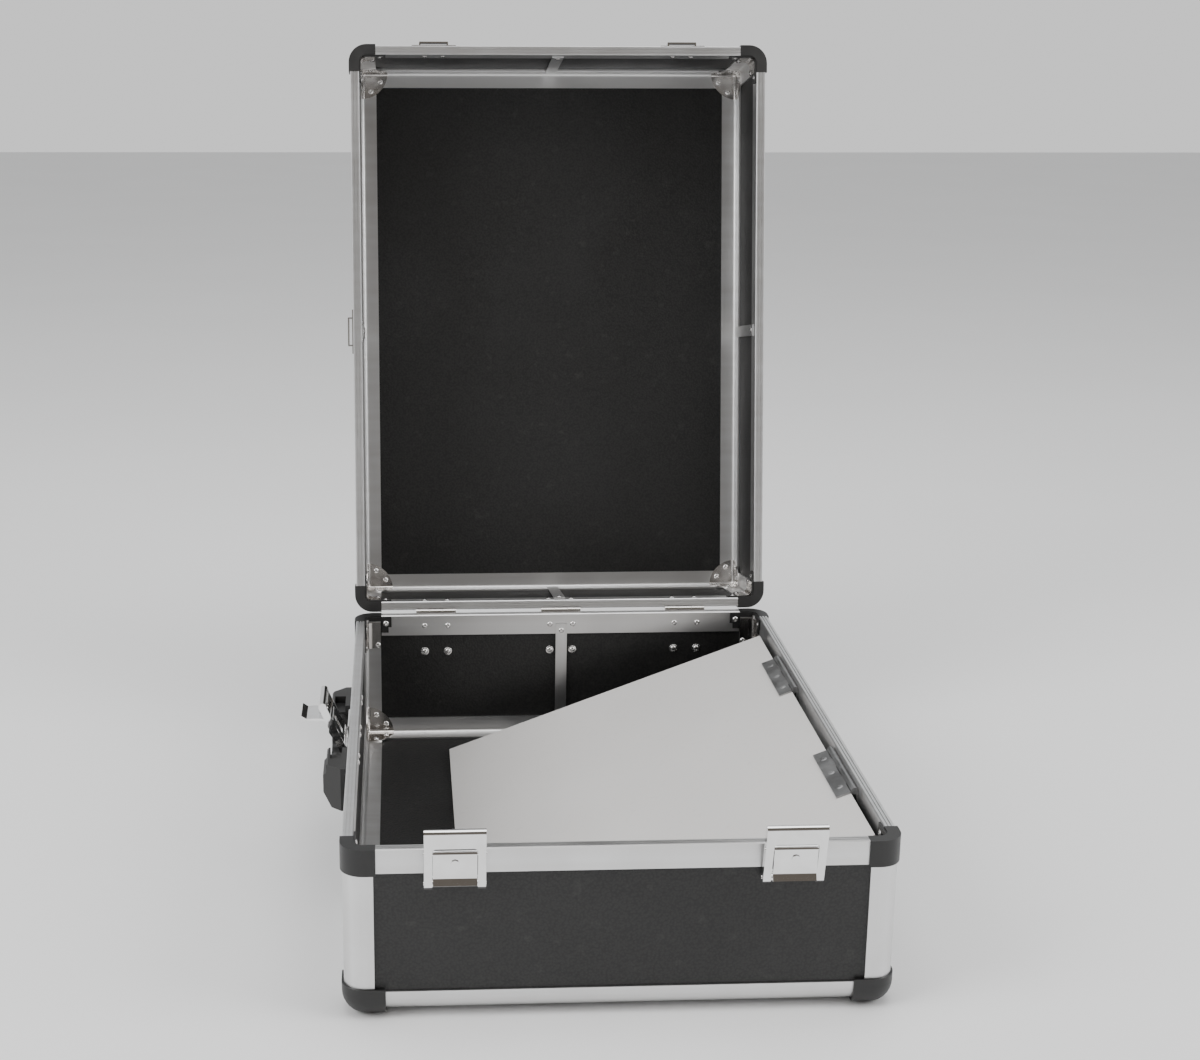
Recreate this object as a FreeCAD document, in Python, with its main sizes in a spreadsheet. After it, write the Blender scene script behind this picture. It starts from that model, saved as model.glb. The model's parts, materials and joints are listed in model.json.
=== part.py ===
import FreeCAD, Part
import math
import os
from types import SimpleNamespace
import Sketcher

# An aluminium-framed tool case: a deep base, a shallower lid that leans back on three hinges, three
# draw latches, a carry handle on the left side and a board hinged along the right side inside.
# Millimetres, +Z up, front towards -Y. The origin is on the ground under the middle of the open case.

SIZES = {
    # the box: outer faces of the frame, and depths measured from the joint between base and lid
    "case_width": 330.0,
    "case_length": 448.0,
    "base_depth": 107.0,
    "lid_depth": 98.4,
    "lid_lean": 10.5,
    "seam": 0.15,
    # extrusions and panels
    "skin": 1.3,
    "panel": 4.0,
    "slip": 0.15,
    "edge_round": 13.0,
    "edge_leg": 15.3,
    "post_leg": 18.5,
    "slot_floor": 11.0,
    "inner_leg": 12.4,
    "inner_bead": 3.0,
    "rim_skirt": 15.5,
    "rim_lining": 17.0,
    "rim_web": 3.2,
    "groove": 0.8,
    # plastic collars on the rim corners
    "collar_leg": 20.0,
    "collar_wall": 1.1,
    "collar_skirt": 16.8,
    "collar_tab": 8.0,
    "tab_drop": 14.0,
    # plastic ball corners
    "ball_wall": 1.4,
    "ball_leg": 25.0,
    "ball_rise": 17.0,
    "foot": 3.0,
    "foot_ramp": 6.0,
    # plated fittings inside
    "plate": 1.0,
    "leaf_radius": 22.0,
    "bracket_round": 6.0,
    "bracket_height": 21.5,
    "strip_width": 9.0,
    "fit_gap": 0.05,
    # rivets
    "rivet_radius": 2.3,
    "rivet_height": 1.1,
    "washer_radius": 3.3,
    "washer_height": 0.8,
    # lid hinges
    "hinge_spacing": 101.0,
    "hinge_width": 32.0,
    "hinge_offset": 1.6,
    "hinge_barrel": 2.6,
    "hinge_pin": 1.2,
    "hinge_drop": 37.0,
    "hinge_rivet_drop": 9.0,
    "washer_drop": 31.0,
    "strip_rivet_drop": 14.0,
    "running": 0.05,
    "rivet_spacing": 18.5,
    # draw latches
    "latch_inset": 66.0,
    "latch_reach": 14.5,
    "side_latch_reach": 32.2,
    "latch_eye": 2.0,
    "latch_rivet": 7.2,
    "plate_rise": 17.0,
    "rivet_rise": 7.2,
    "lever_bow": 40.0,
    "lever_boss": 2.6,
    "right_lever": 4.0,
    "latch_drop": 21.0,
    "latch_width": 36.0,
    "latch_height": 38.0,
    "latch_sheet": 1.2,
    "latch_pin": 1.1,
    "latch_barrel": 2.2,
    "latch_standoff": 2.4,
    "latch_face": 6.6,
    "latch_band": 11.5,
    "window_width": 26.5,
    "lever_rise": 22.0,
    "lever_set": 4.6,
    "lever_barrel": 2.3,
    "lever_length": 19.5,
    "hook_round": 2.7,
    "hook_lip": 1.4,
    "keeper_width": 35.0,
    "keeper_loop": 23.0,
    "keeper_sheet": 0.9,
    "keeper_gap": 3.0,
    "keeper_height": 6.8,
    "left_lean": 10.0,
    "right_lean": 13.0,
    "side_lean": 24.0,
    "side_lever": 114.0,
    # carry handle
    "handle_length": 156.0,
    "bracket_length": 38.0,
    "bracket_out": 16.5,
    "bracket_top": 10.0,
    "bracket_tall": 29.5,
    "bracket_lip": 2.2,
    "bracket_chamfer": 5.5,
    "bracket_taper": 12.0,
    "bracket_recess": 5.0,
    "bracket_wall": 2.2,
    "pin_depth": 6.0,
    "handle_pin": 2.5,
    "handle_pivot": 22.0,
    "handle_rivet": 10.0,
    "handle_rivet_drop": 12.0,
    "grip_thick": 12.0,
    "grip_inset": 2.0,
    "grip_bar": 12.0,
    "grip_drop": 22.0,
    "grip_arm": 6.5,
    "grip_round": 8.0,
    "grip_soft": 4.0,
    "side_gap": 0.4,
    # hinged board
    "board_width": 262.0,
    "board_back": 50.0,
    "board_thick": 3.0,
    "board_front": 22.0,
    "board_rest_gap": 0.3,
    "board_pivot_drop": 5.0,
    "butt_length": 70.0,
    "butt_leaf": 10.0,
    "butt_sheet": 1.2,
    "butt_barrel": 2.3,
    "butt_pin": 1.2,
    "butt_back_inset": 94.0,
    "butt_front_inset": 97.0,
    "screw_radius": 2.3,
    "screw_head": 0.5,
}

os.makedirs("parts", exist_ok=True)
doc = FreeCAD.newDocument("tool_case")
sheet = doc.addObject("Spreadsheet::Sheet", "sizes")
for row, (alias, number) in enumerate(SIZES.items(), 1):
    sheet.set(f"A{row}", alias)
    sheet.set(f"B{row}", str(number))
    sheet.setAlias(f"B{row}", alias)
doc.recompute()


class Size:
    """A number that also knows how the sheet works it out."""

    def __init__(self, value, text=None):
        self.value = float(value)
        self.text = text if text else repr(self.value)

    def joined(self, other, sign, value):
        return Size(value, f"({self.text} {sign} {other.text})")

    def __add__(self, other):
        other = as_size(other)
        return self.joined(other, "+", self.value + other.value)

    def __sub__(self, other):
        other = as_size(other)
        return self.joined(other, "-", self.value - other.value)

    def __mul__(self, other):
        other = as_size(other)
        return self.joined(other, "*", self.value * other.value)

    def __truediv__(self, other):
        other = as_size(other)
        return self.joined(other, "/", self.value / other.value)

    def __radd__(self, other):
        return as_size(other) + self

    def __rsub__(self, other):
        return as_size(other) - self

    def __rmul__(self, other):
        return as_size(other) * self

    def __neg__(self):
        return Size(-self.value, f"(0 - {self.text})")


def as_size(number):
    return number if isinstance(number, Size) else Size(number)


def smaller(first, second):
    first, second = as_size(first), as_size(second)
    return Size(min(first.value, second.value), f"min({first.text}; {second.text})")


s = SimpleNamespace(**{a: Size(sheet.get(a), f"sizes.{a}") for a in SIZES})
V = FreeCAD.Vector
AXES = {"X": V(1, 0, 0), "Y": V(0, 1, 0), "Z": V(0, 0, 1)}
PLANES = {
    "XY": (FreeCAD.Rotation(), "Z"),
    "XZ": (FreeCAD.Rotation(V(1, 0, 0), 90), "Y"),
    "YZ": (FreeCAD.Rotation(V(1, 1, 1), 120), "X"),
}
TURNS = {
    "X": FreeCAD.Rotation(V(0, 1, 0), 90),
    "Y": FreeCAD.Rotation(V(1, 0, 0), -90),
    "Z": FreeCAD.Rotation(),
}


# Helpers that make document objects bound to the sheet


def bind(thing, **sizes):
    """Ties properties to sizes. An underscore in a name stands for a dot."""
    for name, size in sizes.items():
        thing.setExpression(name.replace("_", "."), as_size(size).text)
    return thing


def at(thing, x=0, y=0, z=0):
    return bind(thing, Placement_Base_x=x, Placement_Base_y=y, Placement_Base_z=z)


def box(name, low, high):
    """A box between two opposite corners."""
    thing = doc.addObject("Part::Box", name)
    span = [as_size(b) - a for a, b in zip(low, high)]
    bind(thing, Length=span[0], Width=span[1], Height=span[2])
    return at(thing, *low)


def cylinder(name, axis, start, radius, length):
    """A cylinder that runs from a point along +axis."""
    thing = doc.addObject("Part::Cylinder", name)
    thing.Placement = FreeCAD.Placement(V(), TURNS[axis])
    bind(thing, Radius=radius, Height=length)
    return at(thing, *start)


def stud(name, axis, start, radius, height):
    """A low eight-sided head on a surface that faces along axis, which may be negative."""
    thing = doc.addObject("Part::Prism", name)
    thing.Polygon = 8
    turn = TURNS[axis[-1]]
    if axis[0] == "-":
        turn = FreeCAD.Rotation(AXES["X" if axis[-1] == "Z" else "Z"], 180) * turn
    thing.Placement = FreeCAD.Placement(V(), turn)
    bind(thing, Circumradius=radius, Height=height)
    return at(thing, *start)


def arc_centre(p, q, radius):
    """Centre of the short arc from p to q that bends left, or right where radius is negative."""
    across = q - p
    half = across.Length / 2
    side = V(-across.y, across.x, 0).normalize() * math.copysign(1, radius)
    return (p + q) * 0.5 + side * math.sqrt(max(radius**2 - half**2, 0))


def outline(name, plane, corners, holes=()):
    """A closed sketch. A corner is (u, v), or (u, v, r) where an arc of radius r leaves it."""
    sketch = doc.addObject("Sketcher::SketchObject", name)
    sketch.Placement = FreeCAD.Placement(V(), PLANES[plane][0])
    return draw(sketch, corners, holes)


def draw(sketch, corners, holes=()):
    """Adds a closed outline and round holes to a sketch, each point held by the sheet."""
    spots = [tuple(as_size(c) for c in corner) for corner in corners]
    points = [V(c[0].value, c[1].value, 0) for c in spots]
    count = len(spots)
    ends = []
    for i, (p, q) in enumerate(zip(points, points[1:] + points[:1])):
        if len(spots[i]) == 2:
            sketch.addGeometry(Part.LineSegment(p, q))
            ends.append((1, 2))
            continue
        radius = spots[i][2].value
        centre = arc_centre(p, q, radius)
        first, last = (p, q) if radius > 0 else (q, p)
        angles = [math.atan2(e.y - centre.y, e.x - centre.x) for e in (first, last)]
        if angles[1] < angles[0]:
            angles[1] += 2 * math.pi
        circle = Part.Circle(centre, V(0, 0, 1), abs(radius))
        sketch.addGeometry(Part.ArcOfCircle(circle, *angles))
        ends.append((1, 2) if radius > 0 else (2, 1))
    for i in range(count):
        fix(sketch, i, ends[i][0], spots[i][0], spots[i][1])
        after = (i + 1) % count
        sketch.addConstraint(Sketcher.Constraint("Coincident", i, ends[i][1], after, ends[after][0]))
        if len(spots[i]) == 3:
            tie(sketch, Sketcher.Constraint("Radius", i, abs(spots[i][2].value)), magnitude(spots[i][2]))
    for i, (u, v, radius) in enumerate(holes, count):
        u, v, radius = as_size(u), as_size(v), as_size(radius)
        sketch.addGeometry(Part.Circle(V(u.value, v.value, 0), V(0, 0, 1), radius.value))
        fix(sketch, i, 3, u, v)
        tie(sketch, Sketcher.Constraint("Radius", i, radius.value), radius)
    return sketch


def magnitude(size):
    return size if size.value > 0 else -size


def tie(sketch, constraint, size):
    index = sketch.addConstraint(constraint)
    sketch.setExpression(f"Constraints[{index}]", size.text)


def fix(sketch, index, end, u, v):
    """Holds one point of a sketch at (u, v)."""
    tie(sketch, Sketcher.Constraint("DistanceX", -1, 1, index, end, u.value), u)
    tie(sketch, Sketcher.Constraint("DistanceY", -1, 1, index, end, v.value), v)


def bar(name, plane, corners, start, length, holes=()):
    """An outline drawn out square to its plane, from start along the plane's positive normal axis."""
    thing = doc.addObject("Part::Extrusion", name)
    thing.Base = outline(name + "_outline", plane, corners, holes)
    axis = PLANES[plane][1]
    thing.DirMode = "Custom"
    thing.Dir = AXES[axis]
    thing.Solid = True
    bind(thing, LengthFwd=length)
    thing.setExpression(f"Placement.Base.{axis.lower()}", as_size(start).text)
    return thing


def mirror(name, source, axis):
    thing = doc.addObject("Part::Mirroring", name)
    thing.Source = source
    thing.Normal = AXES[axis]
    return thing


def cut(name, base, tool):
    thing = doc.addObject("Part::Cut", name)
    thing.Base, thing.Tool = base, tool
    return thing


def common(name, base, tool):
    thing = doc.addObject("Part::Common", name)
    thing.Base, thing.Tool = base, tool
    return thing


def fuse(name, things):
    thing = doc.addObject("Part::MultiFuse", name)
    thing.Shapes = things
    thing.Refine = True
    return thing


def rounded(name, source, radius, picked):
    """Rounds the edges whose middle point the test picks."""
    doc.recompute()
    thing = doc.addObject("Part::Fillet", name)
    thing.Base = source
    radius = as_size(radius).value
    thing.Edges = [
        (i, radius, radius)
        for i, edge in enumerate(source.Shape.Edges, 1)
        if picked(edge.CenterOfMass, edge)
    ]
    return thing


def bundle(name, things):
    thing = doc.addObject("Part::Compound", name)
    thing.Links = things
    return thing


def both_sides(name, thing, axis):
    return [thing, mirror(name + "_mirrored", thing, axis)]


def four_corners(name, thing):
    """A piece at the front left corner, repeated at the other three."""
    pair = bundle(name + "_pair", both_sides(name + "_across", thing, "X"))
    return [pair, mirror(name + "_behind", pair, "Y")]


nodes = []


def piece(label, things, placement=FreeCAD.Placement()):
    """A finished sub-part: one solid, or a group of separate ones, under the node's name."""
    thing = bundle(label, things)
    thing.Label = label
    thing.Placement = UNDER_MIDDLE * placement
    nodes.append(thing)
    return thing


# Places that several pieces share

half_width = s.case_width / 2
half_length = s.case_length / 2
joint_height = s.foot + s.base_depth
inner = s.skin * 2 + s.slip * 2 + s.panel
panel_face = s.skin + s.slip
panel_back = panel_face + s.panel
inner_reach = inner + s.inner_leg
lid_pivot_y = half_length + s.hinge_offset

NO_TURN = FreeCAD.Rotation()
ON_BASE = FreeCAD.Placement(V(0, 0, joint_height.value), NO_TURN)
OPEN = FreeCAD.Placement(
    V(),
    FreeCAD.Rotation(V(-1, 0, 0), 90 + s.lid_lean.value),
    V(0, lid_pivot_y.value, joint_height.value),
)
ON_LID = OPEN * ON_BASE

# The pieces are built round the middle of the base, then moved to stand round the middle of the open
# case's plan, which reaches back by the lid's lean, forwards by its latches and left by the side one.
lean_back = math.radians(s.lid_lean.value)
lid_top_back = (s.case_length.value + s.hinge_offset.value) * math.sin(lean_back)
back_reach = lid_pivot_y.value + lid_top_back + s.lid_depth.value * math.cos(lean_back)
front_reach = half_length.value + s.latch_reach.value
UNDER_MIDDLE = FreeCAD.Placement(
    V(s.side_latch_reach.value / 2, (front_reach - back_reach) / 2, 0), NO_TURN
)


# The two halves of the box. Each is built below the joint, which is its z = 0, and the lid's half
# is then mirrored upwards and leant back on the hinges.


def at_corner(a, b, *bend):
    """A point a from the left face and b from the front face, inwards."""
    return (a - half_width, b - half_length, *bend)


def rim_section(place):
    """The rim: an outer skirt, a grooved mating face and an inner lining round the panel's edge."""
    top = -s.seam
    under = -s.rim_web
    first = inner * 0.3
    second = inner * 0.6
    lip = s.groove * 0.75
    return [
        place(0, -s.rim_skirt),
        place(0, top - lip),
        place(lip, top),
        place(first, top),
        place(first, top - s.groove),
        place(first + s.groove, top - s.groove),
        place(first + s.groove, top),
        place(second, top),
        place(second, top - s.groove),
        place(second + s.groove, top - s.groove),
        place(second + s.groove, top),
        place(inner - lip, top),
        place(inner, top - lip),
        place(inner, -s.rim_lining),
        place(inner - s.skin, -s.rim_lining),
        place(inner - s.skin, under),
        place(s.skin, under),
        place(s.skin, -s.rim_skirt),
    ]


def corner_section(leg, place):
    """A rounded corner extrusion with a slot for a panel on each side."""
    core = panel_back + s.fit_gap
    return [
        place(s.edge_round, 0),
        place(leg, 0),
        place(leg, s.skin),
        place(s.slot_floor, s.skin),
        place(s.slot_floor, core),
        place(core, core),
        place(core, s.slot_floor),
        place(s.skin, s.slot_floor),
        place(s.skin, leg),
        place(0, leg),
        place(0, s.edge_round, s.edge_round),
    ]


def angle_section(place):
    """An inner angle with a rounded bead along its inside corner."""
    back = inner - s.skin
    return [
        place(back, back),
        place(inner_reach, back),
        place(inner_reach, inner),
        place(inner + s.inner_bead, inner, -s.inner_bead),
        place(inner, inner + s.inner_bead),
        place(inner, inner_reach),
        place(back, inner_reach),
    ]


def half_of_box(name, depth, pieces):
    """Adds the parts of one half to pieces, a dict from part name to its solids."""
    edge = s.slot_floor + s.slip * 2
    panel_top = -s.rim_web - s.slip * 2
    low_x, low_y = edge - half_width, edge - half_length
    face_y, back_y = panel_face - half_length, panel_back - half_length
    face_x, back_x = panel_face - half_width, panel_back - half_width
    floor = -depth + panel_face
    front = box(name + "_front", (low_x, face_y, edge - depth), (-low_x, back_y, panel_top))
    left = box(name + "_left", (face_x, low_y, edge - depth), (back_x, -low_y, panel_top))
    pieces["front_panel"] = [front]
    pieces["back_panel"] = [mirror(name + "_back", front, "Y")]
    pieces["left_panel"] = [left]
    pieces["right_panel"] = [mirror(name + "_right", left, "X")]
    pieces["panel"] = [box(name + "_panel", (low_x, low_y, floor), (-low_x, -low_y, floor + s.panel))]

    # rim bars, butted against the collars, with notches for the hinge barrels in the back one
    reach_x, reach_y = half_width - s.collar_leg, half_length - s.collar_leg
    front_rim = bar(
        name + "_rim_front", "YZ", rim_section(lambda a, z: (a - half_length, z)), -reach_x, reach_x * 2
    )
    left_rim = bar(
        name + "_rim_left", "XZ", rim_section(lambda a, z: (a - half_width, z)), -reach_y, reach_y * 2
    )
    notch_radius = s.hinge_barrel + s.side_gap
    notch_width = s.hinge_width + s.side_gap * 2
    notches = [
        cylinder(
            f"{name}_notch_{i}",
            "X",
            (s.hinge_spacing * i - notch_width / 2, lid_pivot_y, 0),
            notch_radius,
            notch_width,
        )
        for i in (-1, 0, 1)
    ]
    back_rim = cut(
        name + "_rim_back", mirror(name + "_rim_behind", front_rim, "Y"), bundle(name + "_notches", notches)
    )
    pieces["rim"] = [front_rim, back_rim, *both_sides(name + "_rim_side", left_rim, "X")]

    # corner posts, edge extrusions and the inner angles that clamp the panels to them
    post_low = s.edge_leg + s.slip - depth
    post_top = -s.rim_web - s.slip * 2
    post = bar(
        name + "_post", "XY", corner_section(s.post_leg, at_corner), post_low, post_top - post_low
    )
    pieces["corner_posts"] = four_corners(name + "_posts", post)
    clear = inner_reach + s.slip
    run_x, run_y = half_width - clear, half_length - clear
    front_edge = bar(
        name + "_edge_front",
        "YZ",
        corner_section(s.edge_leg, lambda a, b, *bend: (a - half_length, b - depth, *bend)),
        -run_x,
        run_x * 2,
    )
    left_edge = bar(
        name + "_edge_left",
        "XZ",
        corner_section(s.edge_leg, lambda a, b, *bend: (a - half_width, b - depth, *bend)),
        -run_y,
        run_y * 2,
    )
    pieces["edge_profiles"] = both_sides(name + "_edge_across", front_edge, "Y") + both_sides(
        name + "_edge_along", left_edge, "X"
    )
    angle_low = inner - s.skin - depth
    upright = bar(
        name + "_angle_upright", "XY", angle_section(at_corner), angle_low, post_top - angle_low
    )
    front_angle = bar(
        name + "_angle_front",
        "YZ",
        angle_section(lambda a, b, *bend: (a - half_length, b - depth, *bend)),
        -run_x,
        run_x * 2,
    )
    left_angle = bar(
        name + "_angle_left",
        "XZ",
        angle_section(lambda a, b, *bend: (a - half_width, b - depth, *bend)),
        -run_y,
        run_y * 2,
    )
    pieces["inner_angles"] = (
        four_corners(name + "_angle_uprights", upright)
        + both_sides(name + "_angle_across", front_angle, "Y")
        + both_sides(name + "_angle_along", left_angle, "X")
    )
    pieces["rim_collars"] = four_corners(name + "_collars", collar(name))
    pieces["ball_corners"] = four_corners(name + "_balls", ball_corner(name, depth))
    pieces["inner_corners"] = four_corners(name + "_inner_corners", inner_corner(name, depth))
    pieces["corner_brackets"] = four_corners(name + "_brackets", corner_bracket(name))


def collar(name):
    """A moulded collar over a rim corner: a top plate, a skirt outside and a riveted tab each way."""
    out = -s.collar_wall - s.fit_gap * 2
    near = -s.fit_gap * 2
    leg = s.collar_leg
    mid = s.edge_round
    outer_round = s.edge_round - out
    top = bar(
        name + "_collar_top",
        "XY",
        [
            at_corner(leg, out),
            at_corner(leg, inner),
            at_corner(mid, inner, inner - mid),
            at_corner(inner, mid),
            at_corner(inner, leg),
            at_corner(out, leg),
            at_corner(out, mid, outer_round),
            at_corner(mid, out),
        ],
        -s.rim_web,
        s.rim_web - s.seam,
    )
    skirt = bar(
        name + "_collar_skirt",
        "XY",
        [
            at_corner(leg, out),
            at_corner(leg, near),
            at_corner(mid, near, near - mid),
            at_corner(near, mid),
            at_corner(near, leg),
            at_corner(out, leg),
            at_corner(out, mid, outer_round),
            at_corner(mid, out),
        ],
        -s.collar_skirt,
        s.collar_skirt - s.rim_web,
    )
    tab_top = -s.seam - s.groove
    step = s.rim_web + s.skin
    tab_end = leg + s.collar_tab
    tab_mid = -s.tab_drop * 0.68
    tab_start = inner + s.inner_bead
    tab_corners = [
        (tab_start, tab_top),
        (tab_start, -step),
        (leg, -step),
        (leg, -s.tab_drop),
        (tab_end - s.collar_tab * 0.3, -s.tab_drop),
        (tab_end - s.collar_tab * 0.3, tab_mid),
        (tab_end, tab_mid),
        (tab_end, tab_top),
    ]
    along_x = bar(
        name + "_collar_tab_x",
        "XZ",
        [(a - half_width, z) for a, z in tab_corners],
        inner - half_length,
        s.skin,
    )
    along_y = bar(
        name + "_collar_tab_y",
        "YZ",
        [(a - half_length, z) for a, z in tab_corners],
        inner - half_width,
        s.skin,
    )
    return fuse(name + "_collar", [top, skirt, along_x, along_y])


def ball_corner(name, depth):
    """A moulded ball corner: a rounded shell over the bottom corner, thicker below as a foot."""
    wall = s.ball_wall
    low = (-half_width - wall, -half_length - wall, -depth - s.foot)
    high = (s.ball_leg - half_width, s.ball_leg - half_length, s.ball_rise - depth)
    corner = V(low[0].value, low[1].value, low[2].value)
    outer = rounded(
        name + "_ball_outer",
        box(name + "_ball_block", low, high),
        s.edge_round + wall,
        lambda p, e: near_corner(p, corner),
    )
    gap = s.fit_gap * 2
    inside = (-half_width - gap, -half_length - gap, -depth - gap)
    cavity_corner = V(inside[0].value, inside[1].value, inside[2].value)
    reach = s.ball_leg * 2
    cavity = rounded(
        name + "_ball_cavity",
        box(name + "_ball_core", inside, [c + reach for c in inside]),
        s.edge_round + gap,
        lambda p, e: near_corner(p, cavity_corner),
    )
    shell = cut(name + "_ball_shell", outer, cavity)
    start = s.ball_leg - s.foot_ramp
    ramp = [(start, 0), (s.ball_leg + 1, s.foot + s.foot / s.foot_ramp), (s.ball_leg + 1, -1)]
    ramps = [
        bar(
            name + "_ball_ramp_x",
            "XZ",
            [(a - half_width, z - depth - s.foot) for a, z in ramp],
            -half_length - wall * 2,
            s.ball_leg * 2,
        ),
        bar(
            name + "_ball_ramp_y",
            "YZ",
            [(a - half_length, z - depth - s.foot) for a, z in ramp],
            -half_width - wall * 2,
            s.ball_leg * 2,
        ),
    ]
    return cut(name + "_ball", shell, bundle(name + "_ball_ramps", ramps))


def near_corner(point, corner):
    """Whether an edge's middle lies on one of the three edges that meet at a box's corner."""
    tiny = 1e-4
    offsets = [abs(point.x - corner.x), abs(point.y - corner.y), abs(point.z - corner.z)]
    return sum(o < tiny for o in offsets) == 2


def inner_corner(name, depth):
    """A plated corner piece with three quarter-round leaves."""
    seat = inner + s.fit_gap
    face = seat + s.plate
    low = (seat - half_width, seat - half_length, seat - depth)
    inside = (face - half_width, face - half_length, face - depth)
    reach = s.leaf_radius + s.plate
    at_low = V(*[c.value for c in low])
    at_inside = V(*[c.value for c in inside])
    block = rounded(
        name + "_leaf_outer",
        box(name + "_leaf_block", low, [c + reach for c in low]),
        s.inner_bead + s.slip * 2,
        lambda p, e: near_corner(p, at_low),
    )
    core = rounded(
        name + "_leaf_inner",
        box(name + "_leaf_core", inside, [c + reach for c in inside]),
        s.inner_bead + s.slip * 2 - s.plate,
        lambda p, e: near_corner(p, at_inside),
    )
    ball = doc.addObject("Part::Sphere", name + "_leaf_ball")
    bind(ball, Radius=s.leaf_radius)
    at(ball, *low)
    return common(name + "_leaves", cut(name + "_leaf_shell", block, core), ball)


def corner_bracket(name):
    """A plated strap bent round the inside of a rim corner."""
    seat = inner + s.fit_gap
    face = seat + s.plate
    bend = inner + s.bracket_round
    return bar(
        name + "_bracket",
        "XY",
        [
            at_corner(inner_reach, seat),
            at_corner(inner_reach, face),
            at_corner(bend, face, face - bend),
            at_corner(face, bend),
            at_corner(face, inner_reach),
            at_corner(seat, inner_reach),
            at_corner(seat, bend, bend - seat),
            at_corner(bend, seat),
        ],
        -s.rim_web - s.skin * 2 - s.bracket_height,
        s.bracket_height,
    )


def centre_strip(name, depth, wall):
    """A flat strip down the middle of a wall, from the rim's lining to the inner angle."""
    low = inner + s.inner_bead + s.fit_gap - depth
    top = -s.rim_lining * 0.5
    half = s.strip_width / 2
    seat = inner + s.fit_gap
    if wall == "back":
        y = half_length - seat
        return box(name, (-half, y - s.plate, low), (half, y, top))
    x = half_width - seat
    return box(name, (x - s.plate, -half, low), (x, half, top))


base_parts = {}
half_of_box("base", s.base_depth, base_parts)
lid_parts = {}
half_of_box("lid", s.lid_depth, lid_parts)
for part_name, solids in base_parts.items():
    label = "base_floor_panel" if part_name == "panel" else "base_" + part_name
    piece(label, solids, ON_BASE)
for part_name, solids in lid_parts.items():
    label = "lid_top_panel" if part_name == "panel" else "lid_" + part_name
    piece(label, [mirror(f"{label}_up", bundle(f"{label}_down", solids), "Z")], ON_LID)

piece("base_centre_strip", [centre_strip("base_strip", s.base_depth, "back")], ON_BASE)
lid_strips = both_sides("lid_strip_back", centre_strip("lid_back_strip", s.lid_depth, "back"), "Y")
lid_strips += both_sides("lid_strip_side", centre_strip("lid_side_strip", s.lid_depth, "side"), "X")
piece("lid_centre_strips", [mirror("lid_strips_up", bundle("lid_strips", lid_strips), "Z")], ON_LID)


# Lid hinges: a joggled leaf riveted outside the base, a short leaf outside the lid, and a pin


def hinge_barrel(name, start, length):
    """A stretch of a lid hinge's barrel, bored for the pin."""
    outer = cylinder(name + "_round", "X", (start, lid_pivot_y, 0), s.hinge_barrel, length)
    bore = cylinder(
        name + "_bore", "X", (start, lid_pivot_y, 0), s.hinge_pin + s.running, length
    )
    return cut(name, outer, bore)


half_hinge = s.hinge_width / 2
third = s.hinge_width / 3
leaf_back = half_length + s.fit_gap
leaf_face = leaf_back + s.latch_sheet
joggle = panel_face
leaf_base = bar(
    "hinge_base_leaf_plate",
    "YZ",
    [
        (leaf_back, 0),
        (leaf_back, -s.rim_skirt - s.slip),
        (leaf_back - joggle, -s.rim_skirt - s.slip - joggle),
        (leaf_back - joggle, -s.hinge_drop),
        (leaf_face - joggle, -s.hinge_drop),
        (leaf_face - joggle, -s.rim_skirt - joggle),
        (leaf_face, -s.rim_skirt),
        (leaf_face, 0),
    ],
    -half_hinge,
    s.hinge_width,
)
leaf_lid = box(
    "hinge_lid_leaf_plate", (-half_hinge, leaf_back, -s.rim_skirt), (half_hinge, leaf_face, 0)
)
barrel_clear = cylinder(
    "hinge_barrel_clear",
    "X",
    (-half_hinge, lid_pivot_y, 0),
    s.hinge_barrel + s.side_gap,
    s.hinge_width,
)
middle_clear = cylinder(
    "hinge_middle_clear",
    "X",
    (-third / 2 - s.side_gap / 2, lid_pivot_y, 0),
    s.hinge_barrel + s.side_gap,
    third + s.side_gap,
)
outer_barrels = [
    hinge_barrel("hinge_barrel_left", -half_hinge, third),
    hinge_barrel("hinge_barrel_right", half_hinge - third, third),
]
middle_barrel = hinge_barrel("hinge_barrel_middle", s.side_gap / 2 - third / 2, third - s.side_gap)
pin_clear = cylinder(
    "hinge_pin_clear",
    "X",
    (-half_hinge, lid_pivot_y, 0),
    s.hinge_pin + s.running,
    s.hinge_width,
)
base_leaf = cut(
    "hinge_base_leaf_bored",
    cut("hinge_base_leaf", fuse("hinge_base_leaf_solid", [leaf_base, *outer_barrels]), middle_clear),
    pin_clear,
)
end_clear = [
    cylinder(
        f"hinge_end_clear_{side}",
        "X",
        (start, lid_pivot_y, 0),
        s.hinge_barrel + s.side_gap,
        third + s.side_gap / 2,
    )
    for side, start in (("left", -half_hinge - s.side_gap / 2), ("right", half_hinge - third))
]
lid_leaf = cut(
    "hinge_lid_leaf_bored",
    fuse(
        "hinge_lid_leaf",
        [cut("hinge_lid_leaf_notched", leaf_lid, bundle("hinge_end_clears", end_clear)), middle_barrel],
    ),
    cylinder(
        "hinge_lid_pin_clear",
        "X",
        (-half_hinge, lid_pivot_y, 0),
        s.hinge_pin + s.running,
        s.hinge_width,
    ),
)
pin = cylinder(
    "hinge_pin_rod", "X", (-half_hinge, lid_pivot_y, 0), s.hinge_pin, s.hinge_width
)


def at_hinges(name, thing):
    """A piece at the middle hinge, repeated at the outer two."""
    copies = [thing]
    for side, sign in (("left", -1), ("right", 1)):
        copy = bundle(f"{name}_{side}", [thing])
        bind(copy, Placement_Base_x=s.hinge_spacing * sign)
        copies.append(copy)
    return copies


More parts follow.
